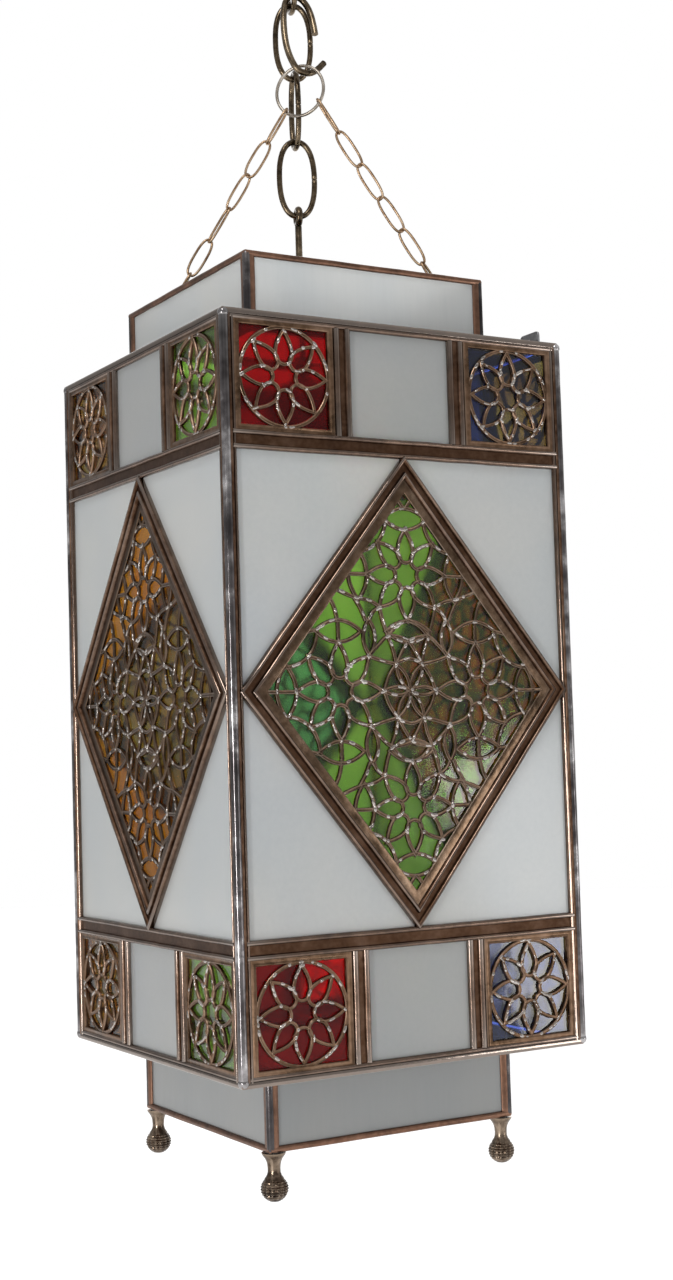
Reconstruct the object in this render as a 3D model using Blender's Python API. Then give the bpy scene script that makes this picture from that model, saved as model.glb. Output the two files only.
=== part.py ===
"""A Moroccan hanging lantern: a square housing of pierced metal and coloured glass under a chain.

The origin is the point that the lantern hangs from, the underside of the ceiling link's top bend.
+Z is up, the front faces -Y, and the door is the +X face. Lengths are in metres.
"""

import math

import bmesh
import bpy
from mathutils import Matrix, Vector

MM = 0.001
GAP = 0.3 * MM  # between pieces that touch

# Housing: a square box with a narrower glazed collar above and below it
BODY_WIDTH = 180 * MM
BODY_HEIGHT = 328 * MM
COLLAR_WIDTH = 129 * MM
UPPER_COLLAR_HEIGHT = 33.8 * MM
LOWER_COLLAR_HEIGHT = 33.4 * MM
SHEET = 1.6 * MM  # metal of plates and collars
GLASS = 2.0 * MM
POST_RADIUS = 2.2 * MM

# Face layout, mirrored left to right and top to bottom
PLATE_HALF_WIDTH = 85.2 * MM
PLATE_INSET = 0.8 * MM  # outer face of a plate behind the corner posts' outer edge
STILE = 1.8 * MM
BAND_RAIL_INNER = 103.5 * MM  # height of the middle field's edge
BAND_RAIL_OUTER = 112.0 * MM
TOP_RAIL = 1.9 * MM
MULLION_INNER = 26.1 * MM
TILE_CENTRE_X = 59.2 * MM
TILE_OPENING = 43.0 * MM
TILE_GLASS_SIZE = 45.6 * MM
DIAMOND_HALF_WIDTH = 85.0 * MM
DIAMOND_HALF_HEIGHT = 105.0 * MM
DIAMOND_BORDER = 8.0 * MM
DIAMOND_PROUD = 1.4 * MM  # how far the diamond panel stands out of the face

# Feet
FOOT_OFFSET = 60 * MM
FOOT_HEIGHT = 20.7 * MM
FOOT_BALL_RADIUS = 6.0 * MM
FOOT_NECK_RADIUS = 3.1 * MM

# Shoulders and collars
SHOULDER_OPENING = 59 * MM  # half the width of the hole in a shoulder
STRAP_HALF_WIDTH = 7 * MM  # strap left across the upper shoulder's hole
COLLAR_CORNER = 5.0 * MM  # sheet left at each corner of a collar
COLLAR_EDGE = 3.8 * MM  # and along its top and bottom
COLLAR_LIP = 4.6 * MM  # how far a collar's rim reaches inwards from its outer face

# Tile rosettes and the diamond's lattice
RAY_START = 5.5 * MM
RAY_MARGIN = 2 * MM  # between a ray's outer end and the tile's edge
RAY_HALF_ANGLE = 17  # degrees
SPANDREL_START = 6 * MM  # where a corner opening starts along the tile's edge
SPANDREL_MARGIN = 0.5 * MM
GRILLE_CELLS = 4  # openings along each side of the diamond
GRILLE_BAR = 0.12  # half a bar's width, as a share of a cell

# Main chain: oval wire links, alternately along and across
LINK_LENGTH = 40.5 * MM
LINK_WIDTH = 20.4 * MM
LINK_WIRE = 1.4 * MM  # radius
CHAIN_TURN = math.radians(-18)  # how far the chain is turned about Z
EYE_RADIUS = 3.7 * MM
ROD_RADIUS = 1.7 * MM
EYE_TOP = 242.05 * MM  # middle of the eye's top bend, above the housing's centre

# Opened link that carries the ring of the side chains
HOOK_WIRE = 1.6 * MM
HOOK_TURN = math.radians(-6)
HOOK_FORWARD = 3.6 * MM
HOOK_LEAN = 0.28  # forward travel per unit of drop
RING_TURN = math.radians(-52)
RING_RADIUS = 12.4 * MM
RING_WIRE = 0.8 * MM
RING_LIFT = 3.7 * MM  # ring's top bend above the hook's lowest bend, wire middle to wire middle
RING_SHIFT = -2.5 * MM  # ring's centre along its own plane, from the hook's lowest bend

# Side chains
SIDE_LINKS = 6
SIDE_WIRE = 0.65 * MM
SIDE_LINK_WIDTH = 7.3 * MM
SIDE_END_GAP = 0.5 * MM  # to the ring's wire and the staple's bar
SIDE_OVERLAP = 0.35 * MM  # how far the joined links sink into each other
LEFT_CHAIN_ANGLE = math.radians(-41)  # round the ring from its lowest point
RIGHT_CHAIN_ANGLE = math.radians(53)
LEFT_STAPLE_Y = 30 * MM
RIGHT_STAPLE_Y = -42 * MM
STAPLE_INSET = 9.0 * MM  # staple's bar inside the collar's outer face
STAPLE_SPAN = 9 * MM
STAPLE_DROP = 2.2 * MM  # middle of the staple's bar below the collar's top
STAPLE_ROOT_DROP = 0.9 * MM

# Door hinge and latch
HINGE_X = 91.6 * MM
HINGE_Y = 85.0 * MM
HINGE_PIN_RADIUS = 0.8 * MM
KNUCKLE_RADIUS = 2.0 * MM
KNUCKLE_BORE = 1.2 * MM
KNUCKLE_LENGTH = 10 * MM
KNUCKLE_HEIGHT = 110 * MM  # middle of the upper hinge above the housing's centre
LEAF_SHORTER = 0.6 * MM  # each end of a leaf inside its knuckle
LATCH_Y = -65 * MM
LATCH_HEIGHT = 2.6 * MM  # pivot above the shoulder
LATCH_WIDTH = 15 * MM
LATCH_REACH = 7.6 * MM
LATCH_TAIL = 3.0 * MM
LATCH_SHEET = 1.2 * MM
LATCH_CORNER = 2 * MM  # cut off each corner of the tab
LUG_HALF_WIDTH = 4 * MM
LUG_OUTER = 0.6 * MM  # lug's outer face inside the housing's outer face
LUG_SHEET = 2 * MM
LUG_ABOVE_PIVOT = 3.4 * MM
RIVET_RADIUS = 1.2 * MM
RIVET_HEAD_RADIUS = 2.2 * MM
RIVET_LENGTH = 4.2 * MM  # behind the tab
RIVET_HEAD = 1.0 * MM

# Lamp
HOLDER_RADIUS = 14 * MM
HOLDER_LENGTH = 38 * MM
BULB_RADIUS = 22.5 * MM
BULB_CAP_RADIUS = 12 * MM
SOCKET_DEPTH = 20 * MM
BULB_NECK = 8 * MM  # from the holder's mouth to the start of the round bulb
ROD_BELOW_STRAP = 5.5 * MM
NUT_RADIUS = 4.6 * MM
NUT_HEIGHT = 3.7 * MM

# Derived levels, from the housing's centre
HALF_BODY = BODY_HEIGHT / 2
HALF_WIDTH = BODY_WIDTH / 2
HALF_COLLAR = COLLAR_WIDTH / 2
SHOULDER_INNER = HALF_BODY - SHEET
PANEL_TOP = SHOULDER_INNER - 2 * GAP
POST_CENTRE = HALF_WIDTH - POST_RADIUS
PLATE_OUTER = HALF_WIDTH - PLATE_INSET
GLASS_OUTER = PLATE_OUTER - SHEET - GAP
LINK_PITCH = LINK_LENGTH - 4 * LINK_WIRE - GAP
LINK_BEND = LINK_LENGTH / 2 - LINK_WIRE  # from a link's centre to the middle of its end wire
LOWER_LINK_Z = EYE_TOP - ROD_RADIUS - LINK_WIRE - GAP + LINK_BEND
VERTICAL_LINK_Z = LOWER_LINK_Z + LINK_PITCH
UPPER_LINK_Z = VERTICAL_LINK_Z + LINK_PITCH
TOP_LINK_Z = UPPER_LINK_Z + LINK_PITCH
CEILING_LINK_Z = TOP_LINK_Z + LINK_PITCH
HANG_HEIGHT = CEILING_LINK_Z + LINK_BEND - LINK_WIRE
ACROSS = Vector((-math.sin(CHAIN_TURN), math.cos(CHAIN_TURN), 0))

MATERIALS = {
    "copper": ((0.20, 0.105, 0.060, 1), 0.42, 1.0, 0.0),
    "collar_copper": ((0.33, 0.15, 0.085, 1), 0.45, 1.0, 0.0),
    "solder": ((0.19, 0.17, 0.17, 1), 0.30, 1.0, 0.0),
    "antique_brass": ((0.16, 0.12, 0.075, 1), 0.35, 1.0, 0.0),
    "bronze": ((0.24, 0.17, 0.11, 1), 0.38, 1.0, 0.0),
    "steel": ((0.42, 0.42, 0.42, 1), 0.40, 1.0, 0.0),
    "frosted_glass": ((0.78, 0.80, 0.80, 1), 0.55, 0.0, 0.6),
    "red_glass": ((0.75, 0.02, 0.02, 1), 0.08, 0.0, 0.8),
    "blue_glass": ((0.03, 0.05, 0.35, 1), 0.08, 0.0, 0.8),
    "green_glass": ((0.12, 0.50, 0.03, 1), 0.08, 0.0, 0.8),
    "teal_glass": ((0.02, 0.30, 0.15, 1), 0.08, 0.0, 0.8),
    "amber_glass": ((0.80, 0.35, 0.04, 1), 0.08, 0.0, 0.8),
    "black_plastic": ((0.03, 0.03, 0.03, 1), 0.45, 0.0, 0.0),
    "bulb_glass": ((0.90, 0.90, 0.88, 1), 0.30, 0.0, 0.4),
}


def clear_scene():
    for obj in list(bpy.data.objects):
        bpy.data.objects.remove(obj, do_unlink=True)


def material(name):
    """The named finish, made on first use."""
    found = bpy.data.materials.get(name)
    if found:
        return found
    colour, roughness, metallic, transmission = MATERIALS[name]
    made = bpy.data.materials.new(name)
    made.use_nodes = True
    shader = made.node_tree.nodes["Principled BSDF"]
    shader.inputs["Base Color"].default_value = colour
    shader.inputs["Roughness"].default_value = roughness
    shader.inputs["Metallic"].default_value = metallic
    shader.inputs["Transmission Weight"].default_value = transmission
    made.diffuse_color = colour
    return made


def place(name, data, finish, parent, matrix=Matrix()):
    """An object at a matrix in the housing's frame, whose centre lies HANG_HEIGHT under the origin."""
    obj = bpy.data.objects.new(name, data)
    bpy.context.scene.collection.objects.link(obj)
    if data.materials:
        data.materials.clear()
    data.materials.append(material(finish))
    obj.matrix_world = Matrix.Translation((0, 0, -HANG_HEIGHT)) @ matrix
    if parent:
        ride_on(obj, parent)
    return obj


def ride_on(obj, parent):
    world = obj.matrix_world.copy()
    obj.parent = parent
    obj.matrix_parent_inverse = parent.matrix_world.inverted()
    obj.matrix_world = world


def pivot(name, position, parent=None):
    """An empty on a joint's axis."""
    empty = bpy.data.objects.new(name, None)
    empty.empty_display_size = 0.01
    bpy.context.scene.collection.objects.link(empty)
    empty.matrix_world = Matrix.Translation(Vector(position) + Vector((0, 0, -HANG_HEIGHT)))
    bpy.context.view_layer.update()
    if parent:
        ride_on(empty, parent)
        bpy.context.view_layer.update()
    return empty


def mesh_from(bm, smooth_angle=None):
    bmesh.ops.recalc_face_normals(bm, faces=bm.faces)
    mesh = bpy.data.meshes.new("solid")
    bm.to_mesh(mesh)
    bm.free()
    if smooth_angle:
        mesh.shade_smooth()
        mesh.set_sharp_from_angle(angle=math.radians(smooth_angle))
    return mesh


def evaluated_mesh(obj):
    """The object's mesh with its modifiers applied and its seams welded; the object is removed."""
    bpy.context.view_layer.update()
    graph = bpy.context.evaluated_depsgraph_get()
    mesh = bpy.data.meshes.new_from_object(obj.evaluated_get(graph))
    bm = bmesh.new()
    bm.from_mesh(mesh)
    bmesh.ops.remove_doubles(bm, verts=bm.verts, dist=0.001 * MM)
    bmesh.ops.recalc_face_normals(bm, faces=bm.faces)
    bm.to_mesh(mesh)
    bm.free()
    bpy.data.objects.remove(obj, do_unlink=True)
    return mesh


def combined(base, others, operation="UNION"):
    """The mesh of base joined with, or cut by, each of the others."""
    target = bpy.data.objects.new("target", base)
    bpy.context.scene.collection.objects.link(target)
    helpers = []
    for mesh in others:
        helper = bpy.data.objects.new("helper", mesh)
        bpy.context.scene.collection.objects.link(helper)
        step = target.modifiers.new("join", "BOOLEAN")
        step.operation = operation
        step.object = helper
        helpers.append(helper)
    result = evaluated_mesh(target)
    for helper in helpers:
        bpy.data.objects.remove(helper, do_unlink=True)
    return result


def box(low, high):
    bm = bmesh.new()
    bmesh.ops.create_cube(bm, size=1)
    low, high = Vector(low), Vector(high)
    size = high - low
    for vert in bm.verts:
        vert.co = Vector(vert.co[i] * size[i] for i in range(3)) + (low + high) / 2
    return mesh_from(bm)


def lathe(profile, segments=16, smooth_angle=35):
    """A solid of revolution about Z from (radius, height) points; it closes on the axis at both ends."""
    bm = bmesh.new()
    rings = []
    for radius, height in profile:
        if radius < 1e-9:
            rings.append([bm.verts.new((0, 0, height))])
            continue
        turns = (2 * math.pi * step / segments for step in range(segments))
        rings.append([bm.verts.new((radius * math.cos(a), radius * math.sin(a), height)) for a in turns])
    for lower, upper in zip(rings, rings[1:]):
        for step in range(segments):
            following = (step + 1) % segments
            corners = [lower[step % len(lower)], lower[following % len(lower)]]
            corners += [upper[following % len(upper)], upper[step % len(upper)]]
            bm.faces.new(dict.fromkeys(corners))
    return mesh_from(bm, smooth_angle)


def rod(radius, low, high, segments):
    """A straight round bar along Z; six segments make a nut."""
    return lathe([(0, low), (radius, low), (radius, high), (0, high)], segments)


def plate(outlines, thickness):
    """A flat plate in XY, centred on z = 0, from closed outlines; one inside another is a hole."""
    curve = bpy.data.curves.new("outline", "CURVE")
    curve.dimensions = "2D"
    curve.fill_mode = "BOTH"
    curve.extrude = thickness / 2
    for outline in outlines:
        spline = curve.splines.new("POLY")
        spline.points.add(len(outline) - 1)
        for point, (x, y) in zip(spline.points, outline):
            point.co = (x, y, 0, 1)
        spline.use_cyclic_u = True
    obj = bpy.data.objects.new("outline", curve)
    bpy.context.scene.collection.objects.link(obj)
    return evaluated_mesh(obj)


def wire(points, radius, closed=True, sides=2):
    """A round wire through the points."""
    curve = bpy.data.curves.new("wire", "CURVE")
    curve.dimensions = "3D"
    curve.bevel_depth = radius
    curve.bevel_resolution = sides
    curve.use_fill_caps = not closed
    spline = curve.splines.new("POLY")
    spline.points.add(len(points) - 1)
    for point, position in zip(spline.points, points):
        point.co = (*position, 1)
    spline.use_cyclic_u = closed
    obj = bpy.data.objects.new("wire", curve)
    bpy.context.scene.collection.objects.link(obj)
    mesh = evaluated_mesh(obj)
    mesh.shade_smooth()
    mesh.set_sharp_from_angle(angle=math.radians(50))
    return mesh


def moved(mesh, matrix):
    mesh.transform(matrix)
    return mesh


def rectangle(x0, x1, y0, y1):
    return [(x0, y0), (x1, y0), (x1, y1), (x0, y1)]


def rhombus(half_width, half_height):
    return [(half_width, 0), (0, half_height), (-half_width, 0), (0, -half_height)]


def circle(radius, count, centre=(0, 0), start=0.0):
    turns = (start + 2 * math.pi * step / count for step in range(count))
    return [(centre[0] + radius * math.cos(a), centre[1] + radius * math.sin(a)) for a in turns]


def oval(length, width, wire_radius, bend_steps):
    """Middle line of a chain link in XZ: two half circles and two straight sides."""
    radius = width / 2 - wire_radius
    centre = length / 2 - wire_radius - radius
    points = []
    for sign in (1, -1):
        for step in range(bend_steps + 1):
            angle = math.pi * step / bend_steps
            points.append((sign * radius * math.cos(angle), 0, sign * (centre + radius * math.sin(angle))))
    return points


def link(turn, height):
    """A main chain link, turned about Z, with its centre at a height."""
    mesh = wire(oval(LINK_LENGTH, LINK_WIDTH, LINK_WIRE, 8), LINK_WIRE)
    return moved(mesh, Matrix.Translation((0, 0, height)) @ Matrix.Rotation(turn, 4, "Z"))


# Chain and hook


def hook_point(u, height):
    """A point of the hook's plane: u to the right, leaning forward as it goes down."""
    top = UPPER_LINK_Z + LINK_LENGTH / 2
    forward = Vector((-math.sin(math.radians(30)), -math.cos(math.radians(30)), 0))
    offset = -ACROSS * HOOK_FORWARD + forward * HOOK_LEAN * (top - height)
    return offset + Vector((math.cos(HOOK_TURN), math.sin(HOOK_TURN), 0)) * u + Vector((0, 0, height))


def hook_route():
    """The opened link: from its upper cut end over the top link, down and round to its lower tip."""
    outline = [
        (11.4, 329.2), (10.6, 334.5), (9.2, 340.5), (6.9, 345.4), (3.4, 348.7), (-0.6, 349.0),
        (-3.6, 346.2), (-5.0, 341.0), (-5.4, 334.0), (-5.0, 326.0), (-3.9, 319.0), (-1.8, 312.8),
        (1.2, 307.9), (4.9, 306.3), (8.7, 306.8), (12.2, 309.4), (15.6, 313.3),
    ]
    return [hook_point(u * MM, height * MM) for u, height in outline]


def hook_bend():
    """Middle of the hook's lowest bend, where the ring hangs."""
    return min(hook_route(), key=lambda point: point.z)


def ring_point(angle):
    """A point of the ring, at an angle from its lowest point."""
    sideways = Vector((math.cos(RING_TURN), math.sin(RING_TURN), 0))
    centre = hook_bend() + sideways * RING_SHIFT + Vector((0, 0, RING_LIFT - RING_RADIUS))
    return centre + sideways * RING_RADIUS * math.sin(angle) - Vector((0, 0, RING_RADIUS * math.cos(angle)))


def side_chain(start, end):
    """Links from the ring's wire to a staple's bar, each joined to the next where they touch."""
    direction = (end - start).normalized()
    pitch = ((end - start).length + 2 * (RING_WIRE + SIDE_END_GAP) + SIDE_OVERLAP) / SIDE_LINKS
    length = pitch + 4 * SIDE_WIRE - SIDE_OVERLAP
    first = length / 2 - 2 * SIDE_WIRE - RING_WIRE - SIDE_END_GAP  # first link's centre, from the ring
    side = -direction.cross(Vector((0, 1, 0))).cross(direction).normalized()  # so the last faces the bar
    meshes = []
    for index in range(SIDE_LINKS):
        normal = side.cross(direction)
        centre = start + direction * (first + pitch * index)
        frame = Matrix((side, normal, -direction)).transposed().to_4x4()
        mesh = wire(oval(length, SIDE_LINK_WIDTH, SIDE_WIRE, 4), SIDE_WIRE, sides=1)
        meshes.append(moved(mesh, Matrix.Translation(centre) @ frame))
        side = normal
    return combined(meshes[0], meshes[1:])


def staple_middle(side):
    """Middle of the bar that a side chain ends on, inside the upper collar's rim."""
    y = RIGHT_STAPLE_Y if side > 0 else LEFT_STAPLE_Y
    height = HALF_BODY + GAP + UPPER_COLLAR_HEIGHT - STAPLE_DROP
    return Vector((side * (HALF_COLLAR - STAPLE_INSET), y, height))


def build_chain(hanger, top, lantern):
    place("ceiling_link", link(CHAIN_TURN, CEILING_LINK_Z), "antique_brass", hanger)
    place("top_link", link(CHAIN_TURN + math.pi / 2, TOP_LINK_Z), "antique_brass", top)
    place("upper_link", link(CHAIN_TURN, UPPER_LINK_Z), "antique_brass", lantern)
    place("vertical_link", link(CHAIN_TURN + math.pi / 2, VERTICAL_LINK_Z), "antique_brass", lantern)
    place("lower_link", link(CHAIN_TURN, LOWER_LINK_Z), "antique_brass", lantern)
    place("hook_link", wire(hook_route(), HOOK_WIRE, closed=False), "antique_brass", lantern)
    ring = [ring_point(2 * math.pi * step / 32) for step in range(32)]
    place("chain_ring", wire(ring, RING_WIRE, sides=1), "steel", lantern)
    for name, angle, side in (("left", LEFT_CHAIN_ANGLE, -1), ("right", RIGHT_CHAIN_ANGLE, 1)):
        chain = side_chain(ring_point(angle), staple_middle(side))
        place(f"side_chain_{name}", chain, "bronze", lantern)


def build_rod(lantern):
    """The rod with its eye, and the two nuts that clamp it to the strap."""
    eye = wire([(0, x, z) for x, z in circle(EYE_RADIUS, 16)], ROD_RADIUS)
    eye_centre = EYE_TOP - EYE_RADIUS
    turn = Matrix.Rotation(CHAIN_TURN, 4, "Z")
    eye = moved(eye, Matrix.Translation((0, 0, eye_centre)) @ turn)
    shaft = rod(ROD_RADIUS, SHOULDER_INNER - ROD_BELOW_STRAP, eye_centre - EYE_RADIUS, 12)
    lower_nut = rod(NUT_RADIUS, SHOULDER_INNER - GAP - NUT_HEIGHT, SHOULDER_INNER - GAP, 6)
    upper_nut = rod(NUT_RADIUS, HALF_BODY + GAP, HALF_BODY + GAP + NUT_HEIGHT, 6)
    place("hanger_rod", combined(eye, [shaft, lower_nut, upper_nut]), "antique_brass", lantern)


def build_lamp(lantern):
    top = SHOULDER_INNER - ROD_BELOW_STRAP - GAP
    mouth = top - HOLDER_LENGTH
    seat = mouth + SOCKET_DEPTH
    bore = BULB_CAP_RADIUS + 2 * GAP
    holder = [(0, top), (6 * MM, top), (11 * MM, top - 3 * MM), (HOLDER_RADIUS, top - 9 * MM)]
    holder += [(HOLDER_RADIUS, mouth), (bore, mouth), (bore, seat), (0, seat)]
    place("lamp_holder", lathe(holder, 20), "black_plastic", lantern)
    cap_top = seat - 2 * GAP
    neck = mouth - BULB_NECK
    centre = neck - BULB_RADIUS * 0.95
    bulb = [(0, cap_top), (BULB_CAP_RADIUS * 0.5, cap_top), (BULB_CAP_RADIUS, cap_top - 3 * MM)]
    bulb += [(BULB_CAP_RADIUS, mouth - 2 * MM), (BULB_CAP_RADIUS + 1 * MM, neck)]
    for step in range(1, 9):
        angle = math.radians(45 - 135 * step / 8)
        bulb.append((BULB_RADIUS * math.cos(angle), centre + BULB_RADIUS * math.sin(angle)))
    bulb[-1] = (0, bulb[-1][1])
    place("bulb", lathe(bulb, 20), "bulb_glass", lantern)


# Housing


def tile_holes(centre):
    """The pierced rosette: four corner openings and eight rays inside a circle."""
    half = TILE_OPENING / 2
    holes = []
    for quarter in range(4):
        turn = math.radians(90 * quarter)
        edge = half - SPANDREL_MARGIN
        corner = [(edge, SPANDREL_START), (half, half), (SPANDREL_START, edge)]
        corner += arc(half, (65, 45, 25))
        holes.append([rotated(point, turn) for point in corner])
    for ray in range(8):
        turn = math.radians(45 * ray)
        points = [(RAY_START, 0)] + arc(half - RAY_MARGIN, (-RAY_HALF_ANGLE, 0, RAY_HALF_ANGLE))
        holes.append([rotated(point, turn) for point in points])
    return [[(x + centre[0], y + centre[1]) for x, y in hole] for hole in holes]


def arc(radius, degrees):
    return [(radius * math.cos(math.radians(a)), radius * math.sin(math.radians(a))) for a in degrees]


def rotated(point, turn):
    x, y = point
    return (x * math.cos(turn) - y * math.sin(turn), x * math.sin(turn) + y * math.cos(turn))


def tile_centre_height():
    return (BAND_RAIL_OUTER + PANEL_TOP - TOP_RAIL) / 2


def tile_centres():
    """Name and centre of each of a face's four tiles, as seen from outside."""
    z = tile_centre_height()
    places = {"upper_left": (-1, 1), "upper_right": (1, 1), "lower_left": (-1, -1), "lower_right": (1, -1)}
    return {name: (sx * TILE_CENTRE_X, sz * z) for name, (sx, sz) in places.items()}


def frame_mesh():
    """The pierced metal lattice of one face, in XY with +Z outwards."""
    outlines = [rectangle(-PLATE_HALF_WIDTH, PLATE_HALF_WIDTH, -PANEL_TOP, PANEL_TOP)]
    field = PLATE_HALF_WIDTH - STILE
    outlines.append(rectangle(-field, field, -BAND_RAIL_INNER, BAND_RAIL_INNER))
    for sign in (1, -1):
        low, high = sorted((sign * BAND_RAIL_OUTER, sign * (PANEL_TOP - TOP_RAIL)))
        outlines.append(rectangle(-MULLION_INNER, MULLION_INNER, low, high))
    for centre in tile_centres().values():
        outlines += tile_holes(centre)
    return moved(plate(outlines, SHEET), Matrix.Translation((0, 0, PLATE_OUTER - SHEET / 2)))


def diamond_grille_mesh():
    """The diamond panel: a border and a crossed lattice, its points cut to sit inside the frame."""
    slope = math.atan(DIAMOND_HALF_HEIGHT / DIAMOND_HALF_WIDTH)
    scale = 1 - DIAMOND_BORDER / (DIAMOND_HALF_WIDTH * math.sin(slope))
    inner_width, inner_height = DIAMOND_HALF_WIDTH * scale, DIAMOND_HALF_HEIGHT * scale
    cut_x = PLATE_HALF_WIDTH - STILE - GAP
    cut_z = BAND_RAIL_INNER - GAP
    y_at_cut = DIAMOND_HALF_HEIGHT * (1 - cut_x / DIAMOND_HALF_WIDTH)
    x_at_cut = DIAMOND_HALF_WIDTH * (1 - cut_z / DIAMOND_HALF_HEIGHT)
    outline = [(cut_x, y_at_cut), (x_at_cut, cut_z), (-x_at_cut, cut_z), (-cut_x, y_at_cut)]
    outline += [(-cut_x, -y_at_cut), (-x_at_cut, -cut_z), (x_at_cut, -cut_z), (cut_x, -y_at_cut)]
    outlines = [outline]
    for row in range(GRILLE_CELLS):
        for column in range(GRILLE_CELLS):
            s0, s1 = (-1 + 2 * (row + step) / GRILLE_CELLS for step in (GRILLE_BAR, 1 - GRILLE_BAR))
            t0, t1 = (-1 + 2 * (column + step) / GRILLE_CELLS for step in (GRILLE_BAR, 1 - GRILLE_BAR))
            corners = ((s0, t0), (s1, t0), (s1, t1), (s0, t1))
            outlines.append([((s - t) / 2 * inner_width, (s + t) / 2 * inner_height) for s, t in corners])
    thickness = SHEET + DIAMOND_PROUD
    height = PLATE_OUTER + DIAMOND_PROUD - thickness / 2
    return moved(plate(outlines, thickness), Matrix.Translation((0, 0, height)))


def diamond_glass_outline(margin):
    """The diamond pane's outline, grown by a margin."""
    slope = math.atan(DIAMOND_HALF_HEIGHT / DIAMOND_HALF_WIDTH)
    share = 1 - (DIAMOND_BORDER / 2 - margin) / (DIAMOND_HALF_WIDTH * math.sin(slope))
    return rhombus(DIAMOND_HALF_WIDTH * share, DIAMOND_HALF_HEIGHT * share)


def tile_outline(centre, margin):
    half = TILE_GLASS_SIZE / 2 + margin
    return rectangle(centre[0] - half, centre[0] + half, centre[1] - half, centre[1] + half)


def frosted_mesh():
    """All the frosted glass of one face, open behind the diamond and the tiles."""
    half_width = PLATE_HALF_WIDTH - 0.2 * MM
    outlines = [rectangle(-half_width, half_width, -PANEL_TOP, PANEL_TOP)]
    outlines.append(diamond_glass_outline(GAP))
    outlines += [tile_outline(centre, GAP) for centre in tile_centres().values()]
    return moved(plate(outlines, GLASS), glass_plane())


def glass_plane():
    return Matrix.Translation((0, 0, GLASS_OUTER - GLASS / 2))


def door_knuckles():
    """The door's half of the hinge: two bored knuckles on leaves."""
    half = KNUCKLE_LENGTH / 2 - LEAF_SHORTER
    knuckles = []
    for sign in (1, -1):
        z = sign * KNUCKLE_HEIGHT
        tube = plate([circle(KNUCKLE_RADIUS, 12), circle(KNUCKLE_BORE, 12)], KNUCKLE_LENGTH)
        tube = moved(tube, Matrix.Translation((HINGE_X, HINGE_Y, z)))
        leaf_low = (PLATE_OUTER - 0.5 * SHEET, HINGE_Y - 5 * MM, z - half)
        leaf_high = (HINGE_X - 1.35 * MM, HINGE_Y - 0.3 * MM, z + half)
        knuckles.append(combined(tube, [box(leaf_low, leaf_high)]))
    return knuckles


FACES = {
    "front": {"turn": 0, "diamond": "green_glass", "left": "red_glass", "right": "blue_glass"},
    "door": {"turn": 90, "diamond": "amber_glass", "left": "amber_glass", "right": "green_glass"},
    "back": {"turn": 180, "diamond": "teal_glass", "left": "red_glass", "right": "blue_glass"},
    "left": {"turn": 270, "diamond": "amber_glass", "left": "amber_glass", "right": "green_glass"},
}


def face_matrix(turn):
    """From a face's own frame, +Z outwards and +Y up, to the housing's."""
    return Matrix.Rotation(math.radians(turn), 4, "Z") @ Matrix.Rotation(math.radians(90), 4, "X")


def build_face(name, face, parent):
    matrix = face_matrix(face["turn"])
    frame = moved(frame_mesh(), matrix)
    if name == "door":
        frame = combined(frame, door_knuckles())
    place(f"{name}_frame", frame, "copper", parent)
    place(f"{name}_diamond_grille", moved(diamond_grille_mesh(), matrix), "copper", parent)
    diamond = plate([diamond_glass_outline(0)], GLASS)
    place(f"{name}_diamond_glass", moved(diamond, matrix @ glass_plane()), face["diamond"], parent)
    place(f"{name}_frosted_glass", moved(frosted_mesh(), matrix), "frosted_glass", parent)
    for spot, centre in tile_centres().items():
        tile = plate([tile_outline(centre, 0)], GLASS)
        finish = face["left"] if spot.endswith("left") else face["right"]
        place(f"{name}_glass_{spot}", moved(tile, matrix @ glass_plane()), finish, parent)


def build_posts_and_feet(lantern):
    profile = [(0, -PANEL_TOP), (POST_RADIUS, -PANEL_TOP), (POST_RADIUS, PANEL_TOP), (0, PANEL_TOP)]
    foot_top = -HALF_BODY - GAP - LOWER_COLLAR_HEIGHT - GAP
    ball = foot_top - FOOT_HEIGHT * 0.66
    foot = [(0, foot_top), (5.6 * MM, foot_top), (4.6 * MM, foot_top - 1.5 * MM)]
    foot += [(FOOT_NECK_RADIUS, foot_top - 4.5 * MM), (FOOT_NECK_RADIUS, foot_top - 6.5 * MM)]
    for angle in (50, 25, 0, -25, -50):
        turn = math.radians(angle)
        foot.append((FOOT_BALL_RADIUS * math.cos(turn), ball + FOOT_BALL_RADIUS * math.sin(turn)))
    foot += [(3.0 * MM, foot_top - FOOT_HEIGHT), (0, foot_top - FOOT_HEIGHT)]
    for depth, sy in (("front", -1), ("back", 1)):
        for side, sx in (("left", -1), ("right", 1)):
            spot = Matrix.Translation((sx * POST_CENTRE, sy * POST_CENTRE, 0))
            place(f"corner_post_{depth}_{side}", lathe(profile, 12), "solder", lantern, spot)
            spot = Matrix.Translation((sx * FOOT_OFFSET, sy * FOOT_OFFSET, 0))
            place(f"foot_{depth}_{side}", lathe(foot, 16), "bronze", lantern, spot)


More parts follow.
